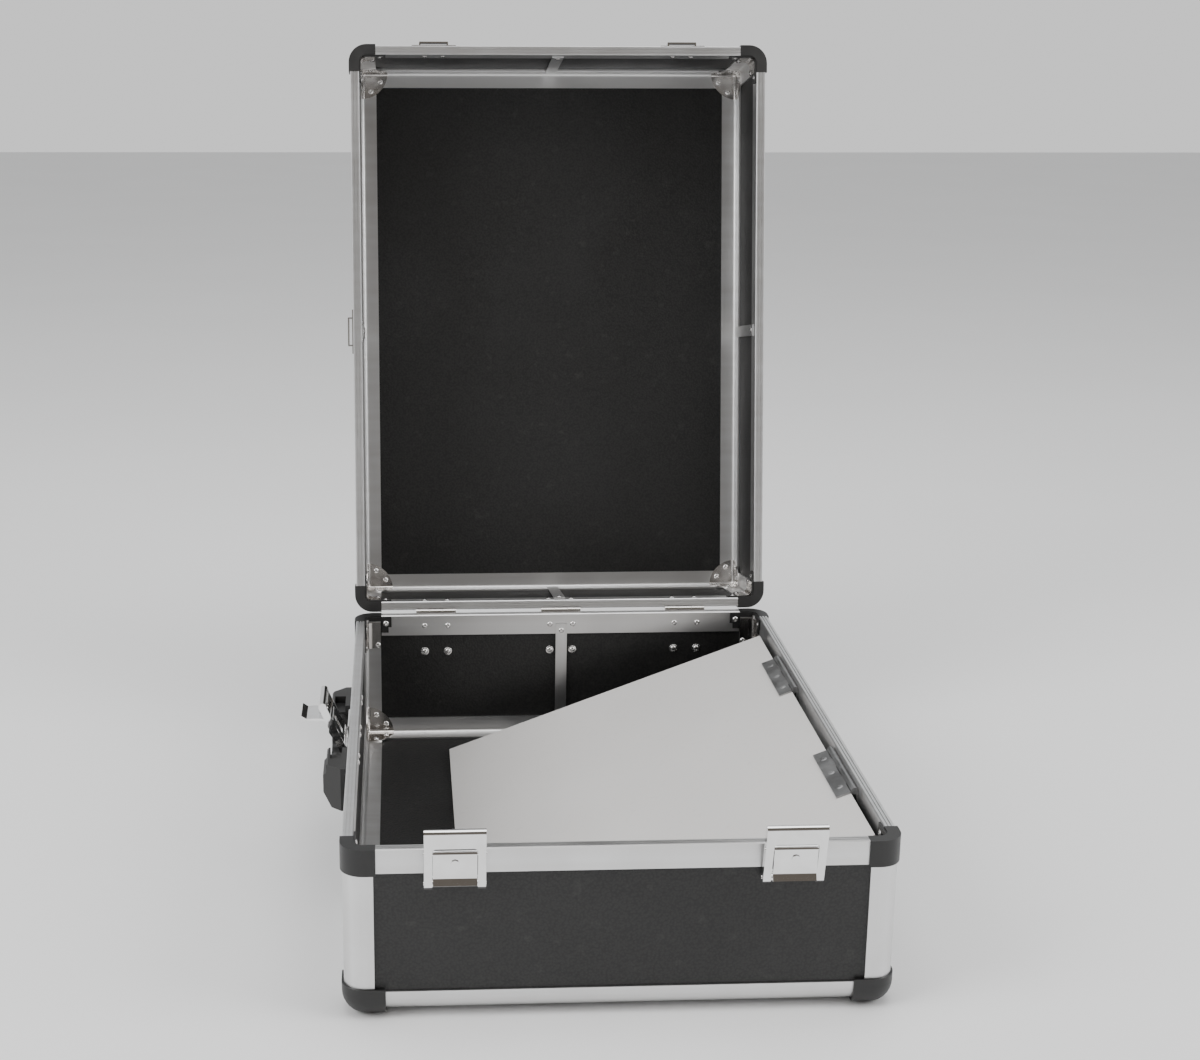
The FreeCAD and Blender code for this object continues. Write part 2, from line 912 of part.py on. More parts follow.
piece("hinge_base_leaves", at_hinges("base_leaf", base_leaf), ON_BASE)
piece("hinge_pins", at_hinges("pin", pin), ON_BASE)
lid_leaves = bundle("lid_leaves", at_hinges("lid_leaf", lid_leaf))
piece("hinge_lid_leaves", [mirror("lid_leaves_up", lid_leaves, "Z")], ON_LID)

# Draw latches. Each is built at the front, with x across it, -y outwards and z up from the pivot of
# its hasp, which is level with the outer face, and is then moved to its place.


class Moulding:
    """A body that grows by pads and pockets, all symmetric about a plane through its middle."""

    def __init__(self, name):
        self.body = doc.addObject("PartDesign::Body", name)
        self.name = name
        self.count = 0

    def feature(self, kind, plane, corners, length, holes=()):
        self.count += 1
        name = f"{self.name}_{kind.lower()}_{self.count}"
        sketch = self.body.newObject("Sketcher::SketchObject", name + "_outline")
        role = plane + "_Plane"
        face = next(f for f in self.body.Origin.OriginFeatures if f.Role == role)
        sketch.AttachmentSupport = [(face, "")]
        sketch.MapMode = "FlatFace"
        draw(sketch, corners, holes)
        step = self.body.newObject("PartDesign::" + kind, name)
        step.Profile = sketch
        step.SideType = "Symmetric"
        return bind(step, Length=length)

    def pad(self, plane, corners, length, holes=()):
        return self.feature("Pad", plane, corners, length, holes)

    def pocket(self, plane, corners, length, holes=()):
        return self.feature("Pocket", plane, corners, length, holes)


def rectangle(u1, v1, u2, v2):
    return [(u1, v1), (u2, v1), (u2, v2), (u1, v2)]


latch_bore = s.latch_pin + s.running
hasp_inside = s.latch_face - s.latch_sheet
hook_centre = s.latch_face - s.hook_round
hook_level = s.latch_height - s.hook_round
window_half = s.window_width / 2
window_top = s.latch_height - s.latch_band
lever_half = window_half - s.side_gap
latch_half = s.latch_width / 2
flange_inside = latch_half - s.latch_sheet
plate_half = flange_inside - s.side_gap
loop_half = s.keeper_loop / 2
lip_half = loop_half - s.latch_sheet - s.side_gap


def latch_plate(name):
    """The riveted plate, with a barrel rolled along its lower edge for the hasp's pin."""
    plate = box(
        name + "_plate", (-plate_half, -s.latch_sheet, 0), (plate_half, -s.fit_gap, s.plate_rise)
    )
    barrel = cylinder(
        name + "_barrel", "X", (-plate_half, -s.latch_standoff, 0), s.latch_barrel, plate_half * 2
    )
    bore = cylinder(name + "_bore", "X", (-plate_half, -s.latch_standoff, 0), latch_bore, plate_half * 2)
    return cut(name + "_bored", fuse(name + "_solid", [plate, barrel]), bore)


def hasp(name):
    """The stamped frame: two flanges on the pin, a window for the lever and a hooked top edge."""
    shape = Moulding(name)
    back = s.latch_sheet + s.side_gap
    eye = s.latch_eye
    hook = s.hook_round
    pivot = (-s.latch_standoff, 0, latch_bore)
    lever_pivot = (-s.lever_set, s.lever_rise, latch_bore)
    shape.pad(
        "YZ",
        [
            (-s.latch_face, 0),
            (-hasp_inside, -eye),
            (-s.latch_standoff, -eye, eye),
            (eye - s.latch_standoff, 0),
            (-back, eye * 2),
            (-back, hook_level - hook),
            (hook - hook_centre, hook_level, hook),
            (-hook_centre, s.latch_height, hook),
            (-s.latch_face, hook_level),
        ],
        s.latch_width,
        [pivot, lever_pivot],
    )
    inside = s.hook_round - s.latch_sheet
    shape.pocket(
        "YZ",
        [
            (s.latch_face, -s.latch_face),
            (s.latch_face, hook_level),
            (inside - hook_centre, hook_level, inside),
            (-hook_centre, hook_level + inside, inside),
            (-hasp_inside, hook_level),
            (-hasp_inside, -s.latch_face),
        ],
        flange_inside * 2,
    )
    corner = s.latch_sheet * 2
    shape.pocket(
        "XZ",
        [
            (-window_half, -s.latch_face),
            (window_half, -s.latch_face),
            (window_half, window_top - corner, corner),
            (window_half - corner, window_top),
            (corner - window_half, window_top, corner),
            (-window_half, window_top - corner),
        ],
        s.latch_face * 3,
    )
    shape.pad(
        "YZ",
        rectangle(
            -s.latch_sheet - back + s.side_gap,
            hook_level - s.hook_lip,
            hook - hook_centre,
            hook_level + s.fit_gap,
        ),
        lip_half * 2,
    )
    return shape.body


def lever(name):
    """The lever in the hasp's window: a curved plate with a finger lip, on a barrel."""
    shape = Moulding(name)
    top = s.lever_rise
    low = s.lever_rise - s.lever_length
    face = s.latch_face
    thick = s.latch_sheet
    shape.pad(
        "YZ",
        [
            (-s.lever_set, top + s.lever_barrel),
            (-s.lever_set - s.lever_barrel, top),
            (-face, top - s.lever_barrel * 2, s.lever_bow),
            (-face - s.fit_gap, low + thick * 3),
            (-face - thick * 2, low),
            (-face - thick, low - thick * 0.6),
            (-face + thick, low + thick * 2.4),
            (-face + thick, top - s.lever_barrel * 2),
            (-s.lever_set, top - s.lever_barrel),
        ],
        lever_half * 2,
    )
    shape.pad("YZ", [], lever_half * 2, [(-s.lever_set, top, s.lever_barrel)])
    shape.pocket("YZ", [], s.latch_width, [(-s.lever_set, top, latch_bore)])
    boss_level = top - s.lever_barrel * 2.4
    boss = stud(name + "_boss", "-Y", (0, thick / 2 - face, boss_level), s.lever_boss, thick * 1.2)
    return fuse(name + "_solid", [shape.body, boss])


def keeper(name):
    """The loop on the lid that the hooked edge goes over."""
    low = s.latch_drop + s.keeper_gap
    top = hook_level + s.fit_gap * 10
    plate_face = s.keeper_sheet + s.fit_gap
    strap = s.latch_sheet
    front = hook_centre + strap * 0.45
    plate = box(
        name + "_plate", (-s.keeper_width / 2, -plate_face, low), (s.keeper_width / 2, -s.fit_gap, top)
    )
    loop = bar(
        name + "_loop",
        "XY",
        [
            (-loop_half, -plate_face),
            (-loop_half, strap / 2 - front, strap / 2),
            (strap / 2 - loop_half, -front),
            (loop_half - strap / 2, -front, strap / 2),
            (loop_half, strap / 2 - front),
            (loop_half, -plate_face),
            (loop_half - strap, -plate_face),
            (loop_half - strap, strap - front),
            (strap - loop_half, strap - front),
            (strap - loop_half, -plate_face),
        ],
        hook_level - s.keeper_height,
        s.keeper_height - s.side_gap,
    )
    return fuse(name + "_solid", [plate, loop])


def turned(angle, centre):
    """A turn about an axis across the latch, which leans its top outwards."""
    return FreeCAD.Placement(V(), FreeCAD.Rotation(V(1, 0, 0), angle), centre)


pin_length = latch_half + s.side_gap
pivot_pin = cylinder(
    "latch_pin", "X", (-pin_length, -s.latch_standoff, 0), s.latch_pin, pin_length * 2
)
lever_pin = cylinder(
    "lever_pin", "X", (-pin_length, -s.lever_set, s.lever_rise), s.latch_pin, pin_length * 2
)
latch_level = joint_height - s.latch_drop
latch_across = half_width - s.latch_inset
TO_LEFT = FreeCAD.Rotation(V(0, 0, 1), -90)
LATCHES = {
    "front_left": (
        FreeCAD.Placement(V(-latch_across.value, -half_length.value, latch_level.value), NO_TURN),
        s.left_lean,
        Size(0),
    ),
    "front_right": (
        FreeCAD.Placement(V(latch_across.value, -half_length.value, latch_level.value), NO_TURN),
        s.right_lean,
        s.right_lever,
    ),
    "side": (
        FreeCAD.Placement(V(-half_width.value, 0, latch_level.value), TO_LEFT),
        s.side_lean,
        s.side_lever,
    ),
}
HASP_PIVOT = V(0, -s.latch_standoff.value, 0)
LEVER_PIVOT = V(0, -s.lever_set.value, s.lever_rise.value)
latch_pins = []
outer_rivets = []
keeper_rivets = []
rivet_pair = [
    stud(
        f"latch_rivet_{side}",
        "-Y",
        (s.latch_rivet * sign, -s.latch_sheet, s.rivet_rise),
        s.rivet_radius,
        s.rivet_height,
    )
    for side, sign in (("left", -1), ("right", 1))
]
inner_pair = [
    stud(
        f"latch_inner_rivet_{side}",
        "Y",
        (s.latch_rivet * sign, inner, s.rivet_rise),
        s.rivet_radius,
        s.rivet_height,
    )
    for side, sign in (("left", -1), ("right", 1))
]
keeper_pair = [
    stud(
        f"keeper_inner_rivet_{side}",
        "Y",
        (s.latch_rivet * sign, inner, s.latch_drop + s.keeper_gap * 3),
        s.rivet_radius,
        s.rivet_height,
    )
    for side, sign in (("left", -1), ("right", 1))
]
for name, (place, lean, lift) in LATCHES.items():
    on_hasp = place * turned(lean.value, HASP_PIVOT)
    on_lever = on_hasp * turned(-lift.value, LEVER_PIVOT)
    piece(name + "_latch_plate", [latch_plate(name + "_plate")], place)
    piece(name + "_hasp", [hasp(name + "_hasp_frame")], on_hasp)
    piece(name + "_lever", [lever(name + "_lever_plate")], on_lever)
    piece(name + "_lever_pin", [bundle(name + "_lever_rod", [lever_pin])], on_hasp)
    piece(name + "_keeper", [keeper(name + "_keeper_loop")], OPEN * place)
    latch_pins.append(bundle(name + "_pin", [pivot_pin]))
    outer_rivets.append(bundle(name + "_rivets", rivet_pair + inner_pair))
    keeper_rivets.append(bundle(name + "_keeper_rivets", keeper_pair))
    latch_pins[-1].Placement = place
    outer_rivets[-1].Placement = place
    keeper_rivets[-1].Placement = OPEN * place
piece("latch_pivot_pins", latch_pins)


# Carry handle on the left side, built at the front like the latches, with z up from the joint

handle_half = s.handle_length / 2
bracket_inside = handle_half - s.bracket_length
bracket_low = -s.bracket_top - s.bracket_tall
pivot_out = s.grip_thick / 2 + s.grip_inset
seat_step = s.rim_skirt + s.slip
lip_out = s.bracket_out - s.bracket_lip


def handle_bracket(name):
    """A moulded end of the handle: seated over the rim's skirt, hollow on top, with a tapered end."""
    body = bar(
        name + "_body",
        "YZ",
        [
            (-s.fit_gap, -s.bracket_top),
            (-lip_out + s.bracket_lip / 2, -s.bracket_top),
            (-lip_out, -s.bracket_top - s.bracket_lip / 2),
            (-lip_out, -s.bracket_top - s.bracket_lip * 3),
            (-s.bracket_out, -s.bracket_top - s.bracket_lip * 4),
            (-s.bracket_out, bracket_low + s.bracket_chamfer * 1.6),
            (-s.bracket_out + s.bracket_chamfer, bracket_low),
            (panel_face - s.fit_gap, bracket_low),
            (panel_face - s.fit_gap, -seat_step),
            (-s.fit_gap, -seat_step),
        ],
        bracket_inside,
        s.bracket_length,
    )
    taper = bar(
        name + "_taper",
        "XY",
        [
            (handle_half - s.bracket_taper, -s.bracket_out * 1.01),
            (handle_half + s.fit_gap, -s.bracket_out * 1.01),
            (handle_half + s.fit_gap, s.bracket_taper - s.bracket_out),
        ],
        bracket_low * 1.1,
        s.bracket_tall * 1.3,
    )
    recess = box(
        name + "_recess",
        (bracket_inside - s.fit_gap, -lip_out + s.bracket_wall, -s.bracket_top - s.bracket_recess),
        (bracket_inside + s.bracket_length / 2, -s.bracket_wall * 2, s.fit_gap - s.bracket_top),
    )
    bore = cylinder(
        name + "_bore",
        "X",
        (bracket_inside - s.fit_gap, -pivot_out, -s.handle_pivot),
        s.handle_pin + s.running,
        s.pin_depth + s.fit_gap * 2,
    )
    return cut(name + "_end", body, bundle(name + "_cuts", [taper, recess, bore]))


def grip(name):
    """The swinging grip: a rounded bar between two arms, bored for the pins."""
    half = bracket_inside - s.side_gap
    inside = half - s.grip_arm
    top = s.grip_thick / 2 - s.handle_pivot
    low = -s.handle_pivot - s.grip_drop - s.grip_bar / 2
    under = low + s.grip_bar
    bend = s.grip_round
    small = s.grip_round * 0.6
    loop = bar(
        name + "_loop",
        "XZ",
        [
            (half, top),
            (inside, top),
            (inside, under + small, -small),
            (inside - small, under),
            (small - inside, under, -small),
            (-inside, under + small),
            (-inside, top),
            (-half, top),
            (-half, low + bend, bend),
            (bend - half, low),
            (half - bend, low, bend),
            (half, low + bend),
        ],
        -s.grip_inset - s.grip_thick,
        s.grip_thick,
    )
    round_end = s.grip_thick / 2
    soft = s.grip_soft
    front = -s.grip_inset - s.grip_thick
    back = -s.grip_inset
    side = bar(
        name + "_side",
        "YZ",
        [
            (back, -s.handle_pivot, round_end),
            (-pivot_out, round_end - s.handle_pivot, round_end),
            (front, -s.handle_pivot),
            (front, low + soft, soft),
            (front + soft, low),
            (back - soft, low, soft),
            (back, low + soft),
        ],
        -half,
        half * 2,
    )
    bore = cylinder(
        name + "_bore", "X", (-half, -pivot_out, -s.handle_pivot), s.handle_pin + s.running, half * 2
    )
    return cut(name + "_bored", common(name + "_rounded", loop, side), bore)


ON_SIDE = FreeCAD.Placement(V(-half_width.value, 0, joint_height.value), TO_LEFT)
front_bracket = handle_bracket("bracket")
piece("handle_front_bracket", [front_bracket], ON_SIDE)
piece("handle_back_bracket", [mirror("bracket_mirrored", front_bracket, "X")], ON_SIDE)
handle_pin = cylinder(
    "handle_pin",
    "X",
    (bracket_inside - s.grip_arm, -pivot_out, -s.handle_pivot),
    s.handle_pin,
    s.grip_arm + s.pin_depth,
)
piece("handle_pins", both_sides("handle_pin_pair", handle_pin, "X"), ON_SIDE)
piece("handle_grip", [grip("grip")], ON_SIDE)
handle_rivets = bundle(
    "handle_rivets",
    [
        piece_rivet
        for i, out in enumerate((bracket_inside + s.handle_rivet, bracket_inside + s.handle_rivet * 2.2))
        for piece_rivet in both_sides(
            f"handle_rivet_{i}_pair",
            stud(f"handle_rivet_{i}", "Y", (out, inner, -s.handle_rivet_drop), s.rivet_radius, s.rivet_height),
            "X",
        )
    ],
)
handle_rivets.Placement = ON_SIDE


# The board along the right side, on two butt hinges. It is built flat, running left from its
# hinge line at the origin, and then tipped until its free edge is just above the floor.

board_pivot_x = half_width - inner - s.fit_gap - s.butt_barrel
board_start = s.butt_barrel + s.side_gap
board_top = -s.butt_sheet / 2 - s.fit_gap
board_end = board_start + s.board_width
board_drop = s.base_depth - s.board_pivot_drop - panel_back - s.board_rest_gap
board_under = s.board_thick.value - board_top.value
reach = math.hypot(board_end.value, board_under)
tilt = math.degrees(math.asin(board_drop.value / reach) - math.atan2(board_under, board_end.value))
ON_BOARD = FreeCAD.Placement(
    V(board_pivot_x.value, 0, joint_height.value - s.board_pivot_drop.value),
    FreeCAD.Rotation(V(0, 1, 0), -tilt),
)
BESIDE_BOARD = FreeCAD.Placement(ON_BOARD.Base, NO_TURN)
board_near = s.board_front - half_length
board_far = half_length - s.board_back
piece(
    "hinged_board",
    [
        box(
            "board_sheet",
            (-board_end, board_near, board_top - s.board_thick),
            (-board_start, board_far, board_top),
        )
    ],
    ON_BOARD,
)


def butt_knuckles(name, start, picked):
    """Every other stretch of a butt hinge's barrel."""
    step = s.butt_length / 5
    return [
        cylinder(
            f"{name}_knuckle_{i}",
            "Y",
            (0, start + step * i + s.fit_gap, 0),
            s.butt_barrel,
            step - s.fit_gap * 2,
        )
        for i in picked
    ]


def butt_leaf(name, start, moving):
    """One leaf of a butt hinge, with its knuckles and clear of the other leaf's."""
    sheet_half = s.butt_sheet / 2
    low = (-s.butt_leaf - s.butt_barrel, start, -sheet_half)
    high = (0, start + s.butt_length, sheet_half)
    if not moving:
        low = (s.butt_barrel - s.butt_sheet, start, -s.butt_leaf)
        high = (s.butt_barrel, start + s.butt_length, 0)
    plate = box(name + "_plate", low, high)
    own, other = ((1, 3), (0, 2, 4)) if moving else ((0, 2, 4), (1, 3))
    step = s.butt_length / 5
    clear = [
        cylinder(
            f"{name}_clear_{i}",
            "Y",
            (0, start + step * i - s.fit_gap, 0),
            s.butt_barrel + s.side_gap,
            step + s.fit_gap * 2,
        )
        for i in other
    ]
    solid = fuse(
        name + "_solid",
        [cut(name + "_notched", plate, bundle(name + "_clears", clear)), *butt_knuckles(name, start, own)],
    )
    bore = cylinder(name + "_bore", "Y", (0, start, 0), s.butt_pin + s.running, s.butt_length)
    return cut(name + "_leaf", solid, bore)


butt_starts = {
    "back": board_far - s.butt_back_inset - s.butt_length / 2,
    "front": board_near + s.butt_front_inset - s.butt_length / 2,
}
fixed_leaves, moving_leaves, butt_pins, board_screws, leaf_rivets = [], [], [], [], []
for where, start in butt_starts.items():
    moving_leaves.append(butt_leaf(f"butt_{where}_moving", start, True))
    fixed_leaves.append(butt_leaf(f"butt_{where}_fixed", start, False))
    butt_pins.append(cylinder(f"butt_{where}_pin", "Y", (0, start, 0), s.butt_pin, s.butt_length))
    for i in range(3):
        along = start + s.butt_length * (i + 0.5) / 3
        board_screws.append(
            stud(
                f"butt_{where}_screw_{i}",
                "Z",
                (-s.butt_barrel - s.butt_leaf / 2, along, s.butt_sheet / 2),
                s.screw_radius,
                s.screw_head,
            )
        )
        leaf_rivets.append(
            stud(
                f"butt_{where}_rivet_{i}",
                "-X",
                (s.butt_barrel - s.butt_sheet, along, -s.butt_leaf * 0.62),
                s.screw_radius,
                s.screw_head,
            )
        )
piece("board_hinge_fixed_leaves", fixed_leaves, BESIDE_BOARD)
piece("board_hinge_moving_leaves", moving_leaves, ON_BOARD)
piece("board_hinge_pins", butt_pins, BESIDE_BOARD)
piece("board_hinge_screws", board_screws, ON_BOARD)
leaf_rivet_group = bundle("leaf_rivet_group", leaf_rivets)
leaf_rivet_group.Placement = BESIDE_BOARD


# Rivets. Their heads sit on the faces they hold, and each half of the box has one group.


def corner_rivets(name, depth):
    """Heads on the collar tabs, the bent brackets and the three leaves of a corner."""
    heads = []
    tab_at = s.collar_leg + s.collar_tab * 0.45
    tab_seat = inner + s.skin
    bracket_at = inner_reach - s.rivet_radius
    bracket_seat = inner + s.fit_gap + s.plate
    level = -s.rim_web - s.skin * 2 - s.bracket_height + s.rivet_radius * 1.2
    for tag, along, seat, height in (
        ("tab", tab_at, tab_seat, -s.tab_drop * 0.45),
        ("bracket", bracket_at, bracket_seat, level),
    ):
        across = (along - half_width, seat - half_length, height)
        heads.append(stud(f"{name}_{tag}_x", "Y", across, s.rivet_radius, s.rivet_height))
        inward = (seat - half_width, along - half_length, height)
        heads.append(stud(f"{name}_{tag}_y", "X", inward, s.rivet_radius, s.rivet_height))
    seat = inner + s.fit_gap + s.plate
    far = inner + s.leaf_radius * 0.72
    near = inner + s.leaf_radius * 0.36
    for i, (a, b) in enumerate(((near, far), (far, near))):
        spots = {
            "X": (seat - half_width, a - half_length, b - depth),
            "Y": (a - half_width, seat - half_length, b - depth),
            "Z": (a - half_width, b - half_length, seat - depth),
        }
        for axis, spot in spots.items():
            heads.append(stud(f"{name}_leaf_{axis}_{i}", axis, spot, s.rivet_radius, s.rivet_height))
    return four_corners(name + "_corner_heads", bundle(name + "_corner_group", heads))


def hinge_rivets(name, on_base):
    """Heads inside the back wall and over the leaves outside, two at each hinge."""
    heads = []
    leaf_out = half_length + s.fit_gap + s.latch_sheet
    wall_in = half_length - inner
    for side, sign in (("left", -1), ("right", 1)):
        x = s.rivet_spacing / 2 * sign
        level = -s.hinge_rivet_drop
        heads.append(stud(f"{name}_in_{side}", "-Y", (x, wall_in, level), s.rivet_radius, s.rivet_height))
        heads.append(stud(f"{name}_out_{side}", "Y", (x, leaf_out, level), s.rivet_radius, s.rivet_height))
        if not on_base:
            continue
        low = -s.washer_drop
        face = half_length - panel_back
        washer = stud(f"{name}_washer_{side}", "-Y", (x, face, low), s.washer_radius, s.washer_height)
        head = stud(
            f"{name}_washer_head_{side}", "-Y", (x, face - s.washer_height, low), s.rivet_radius, s.rivet_height
        )
        outer = stud(
            f"{name}_low_out_{side}", "Y", (x, leaf_out - joggle, low), s.rivet_radius, s.rivet_height
        )
        heads += [fuse(f"{name}_washer_rivet_{side}", [washer, head]), outer]
    return at_hinges(name + "_heads", bundle(name + "_heads", heads))


def strip_rivet(name, depth, wall):
    seat = inner + s.fit_gap + s.plate
    if wall == "back":
        return stud(name, "-Y", (0, half_length - seat, -s.strip_rivet_drop), s.rivet_radius, s.rivet_height)
    return stud(name, "-X", (half_width - seat, 0, -s.strip_rivet_drop), s.rivet_radius, s.rivet_height)


base_heads = corner_rivets("base", s.base_depth) + hinge_rivets("base_hinge", True)
base_heads.append(strip_rivet("base_strip_rivet", s.base_depth, "back"))
base_group = bundle("base_rivet_group", base_heads)
base_group.Placement = ON_BASE
piece("base_rivets", [base_group, handle_rivets, leaf_rivet_group, *outer_rivets])
lid_heads = corner_rivets("lid", s.lid_depth) + hinge_rivets("lid_hinge", False)
lid_heads += both_sides("lid_strip_rivet_back", strip_rivet("lid_back_rivet", s.lid_depth, "back"), "Y")
lid_heads += both_sides("lid_strip_rivet_side", strip_rivet("lid_side_rivet", s.lid_depth, "side"), "X")
lid_group = bundle("lid_rivet_group", [mirror("lid_rivets_up", bundle("lid_rivets_down", lid_heads), "Z")])
lid_group.Placement = ON_LID
piece("lid_rivets", [lid_group, *keeper_rivets])

doc.recompute()
for thing in doc.Objects:
    if "Invalid" in thing.State or "Error" in thing.State:
        raise RuntimeError(f"{thing.Name} failed: {thing.State}")
for thing in nodes:
    shape = thing.Shape
    if shape.isNull() or not shape.isValid() or not shape.Solids:
        raise RuntimeError(f"{thing.Label} has no valid solid")
    shape.exportStep(f"parts/{thing.Label}.step")
print(len(nodes), "sub-parts")
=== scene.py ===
"""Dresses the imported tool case: its finishes, its rivets and screws, the light and the camera."""

from __future__ import annotations

import json
import logging
import math
from collections.abc import Iterable, Sequence
from dataclasses import dataclass
from enum import Enum

import bmesh
import bpy
from mathutils import Matrix, Vector
from mathutils.bvhtree import BVHTree

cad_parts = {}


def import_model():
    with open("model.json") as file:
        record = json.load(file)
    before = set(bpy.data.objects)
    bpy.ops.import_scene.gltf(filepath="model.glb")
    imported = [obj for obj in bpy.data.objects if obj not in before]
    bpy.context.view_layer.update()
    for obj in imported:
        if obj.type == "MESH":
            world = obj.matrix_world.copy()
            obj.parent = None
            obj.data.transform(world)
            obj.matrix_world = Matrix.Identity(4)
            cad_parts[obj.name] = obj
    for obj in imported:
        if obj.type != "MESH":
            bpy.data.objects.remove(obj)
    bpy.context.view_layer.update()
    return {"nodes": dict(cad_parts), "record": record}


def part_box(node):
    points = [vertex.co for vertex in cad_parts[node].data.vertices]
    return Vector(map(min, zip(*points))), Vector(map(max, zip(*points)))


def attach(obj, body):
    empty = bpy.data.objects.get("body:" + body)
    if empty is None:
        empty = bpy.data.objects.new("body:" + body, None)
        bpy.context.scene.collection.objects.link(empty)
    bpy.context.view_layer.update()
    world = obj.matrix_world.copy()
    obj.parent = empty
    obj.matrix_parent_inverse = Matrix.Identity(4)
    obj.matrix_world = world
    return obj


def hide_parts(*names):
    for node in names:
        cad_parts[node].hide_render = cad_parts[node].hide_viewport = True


LOG = logging.getLogger("tool_case")

MM = 0.001
PHOTO_WIDTH = 1200


# Shader helpers


class Graph:
    """The nodes of one material or node group, made and linked by short calls."""

    def __init__(self, tree: bpy.types.NodeTree) -> None:
        """Starts on an emptied tree."""
        self.tree = tree
        tree.nodes.clear()

    def add(self, kind: str, sockets: dict | None = None, **settings: object) -> bpy.types.Node:
        """Adds a node.

        Args:
            kind: The node's class name without "ShaderNode", or a full class name.
            sockets: Input name or number to a value or to another node's output.
            settings: Attributes of the node, such as its operation.

        Returns:
            The new node.
        """
        full = kind if kind.startswith(("ShaderNode", "Node")) else "ShaderNode" + kind
        node = self.tree.nodes.new(full)
        for name, value in settings.items():
            setattr(node, name, value)
        for key, value in (sockets or {}).items():
            if isinstance(value, bpy.types.NodeSocket):
                self.tree.links.new(value, node.inputs[key])
            else:
                node.inputs[key].default_value = value
        return node

    def maths(self, operation: str, *values: object, clamp: bool = False) -> bpy.types.NodeSocket:
        """A Math node's result, from numbers or other outputs."""
        node = self.add("Math", dict(enumerate(values)), operation=operation, use_clamp=clamp)
        return node.outputs[0]

    def mapped(
        self, value: bpy.types.NodeSocket, low: float, high: float, to_low: float, to_high: float
    ) -> bpy.types.NodeSocket:
        """A value moved from one range to another, held inside the new one."""
        sockets = {"Value": value, 1: low, 2: high, 3: to_low, 4: to_high}
        return self.add("MapRange", sockets).outputs[0]

    def blend(self, factor: object, first: object, second: object) -> bpy.types.NodeSocket:
        """A mix of two colours by a factor."""
        node = self.add("Mix", {0: factor, 6: first, 7: second}, data_type="RGBA")
        return node.outputs[2]


def new_group(name: str, inputs: dict[str, str], outputs: dict[str, str]) -> tuple[bpy.types.NodeTree, Graph]:
    """An empty shader group with named sockets.

    Args:
        name: The group's name.
        inputs: Input names to socket kinds, such as Float.
        outputs: Output names to socket kinds.

    Returns:
        The group's tree and a graph that builds in it.
    """
    tree = bpy.data.node_groups.new(name, "ShaderNodeTree")
    for direction, sockets in (("INPUT", inputs), ("OUTPUT", outputs)):
        for socket, kind in sockets.items():
            tree.interface.new_socket(socket, in_out=direction, socket_type="NodeSocket" + kind)
    return tree, Graph(tree)


def drawn_lines_group() -> bpy.types.NodeTree:
    """Fine die lines along an extrusion, with slow changes of tone across it."""
    tree, g = new_group(
        "drawn_lines", {"Vector": "Vector", "Run": "Vector"}, {"Height": "Float", "Tone": "Float"}
    )
    start = g.add("NodeGroupInput")
    squeezed = g.add(
        "VectorMath", {0: start.outputs["Vector"], 1: start.outputs["Run"]}, operation="MULTIPLY"
    ).outputs[0]
    fine = g.add("TexNoise", {"Vector": squeezed, "Scale": 1.0, "Detail": 3.0, "Roughness": 0.6})
    slow = g.add("TexNoise", {"Vector": squeezed, "Scale": 0.09, "Detail": 1.0})
    end = g.add("NodeGroupOutput")
    g.tree.links.new(fine.outputs[0], end.inputs["Height"])
    g.tree.links.new(g.mapped(slow.outputs[0], 0.3, 0.7, 0.0, 1.0), end.inputs["Tone"])
    return tree


def handling_group() -> bpy.types.NodeTree:
    """Faint smears and specks from nothing to full: marks of handling, while on the pebbled panels the pale
    specks are painted glints.
    """
    tree, g = new_group("handling", {"Vector": "Vector", "Scale": "Float"}, {"Smear": "Float", "SpeckAndGlint": "Float"})
    start = g.add("NodeGroupInput")
    at = start.outputs["Vector"]
    smear = g.add(
        "TexNoise", {"Vector": at, "Scale": start.outputs["Scale"], "Detail": 5.0, "Distortion": 0.6}
    )
    finer = g.maths("MULTIPLY", start.outputs["Scale"], 14.0)
    speck = g.add("TexNoise", {"Vector": at, "Scale": finer, "Detail": 2.0})
    end = g.add("NodeGroupOutput")
    g.tree.links.new(g.mapped(smear.outputs[0], 0.42, 0.68, 0.0, 1.0), end.inputs["Smear"])
    g.tree.links.new(g.mapped(speck.outputs[0], 0.62, 0.74, 0.0, 1.0), end.inputs["SpeckAndGlint"])
    return tree


def pebble_group() -> bpy.types.NodeTree:
    """Rounded pebble grain, as pressed into a plastic-faced panel, with a valley mask that the panel uses for
    painted shade.
    """
    tree, g = new_group("pebble", {"Vector": "Vector", "Scale": "Float"}, {"Height": "Float", "Valley": "Float"})
    start = g.add("NodeGroupInput")
    wobble = g.add(
        "TexNoise", {"Vector": start.outputs["Vector"], "Scale": start.outputs["Scale"], "Detail": 1.0}
    )
    push = g.add("VectorMath", {0: wobble.outputs[1], 3: 0.0006}, operation="SCALE").outputs[0]
    moved = g.add("VectorMath", {0: start.outputs["Vector"], 1: push}, operation="ADD").outputs[0]
    cells = g.add(
        "TexVoronoi",
        {"Vector": moved, "Scale": start.outputs["Scale"], "Smoothness": 0.35},
        feature="SMOOTH_F1",
    )
    fine = g.add(
        "TexNoise",
        {"Vector": start.outputs["Vector"], "Scale": g.maths("MULTIPLY", start.outputs["Scale"], 2.3)},
    )
    hump = g.maths("SUBTRACT", 1.0, cells.outputs["Distance"])
    height = g.maths("ADD", hump, g.maths("MULTIPLY", fine.outputs[0], 0.35))
    end = g.add("NodeGroupOutput")
    g.tree.links.new(height, end.inputs["Height"])
    # The valley mask, used for painted shade in the grain's hollows.
    g.tree.links.new(g.mapped(cells.outputs["Distance"], 0.35, 0.7, 0.0, 1.0), end.inputs["Valley"])
    return tree


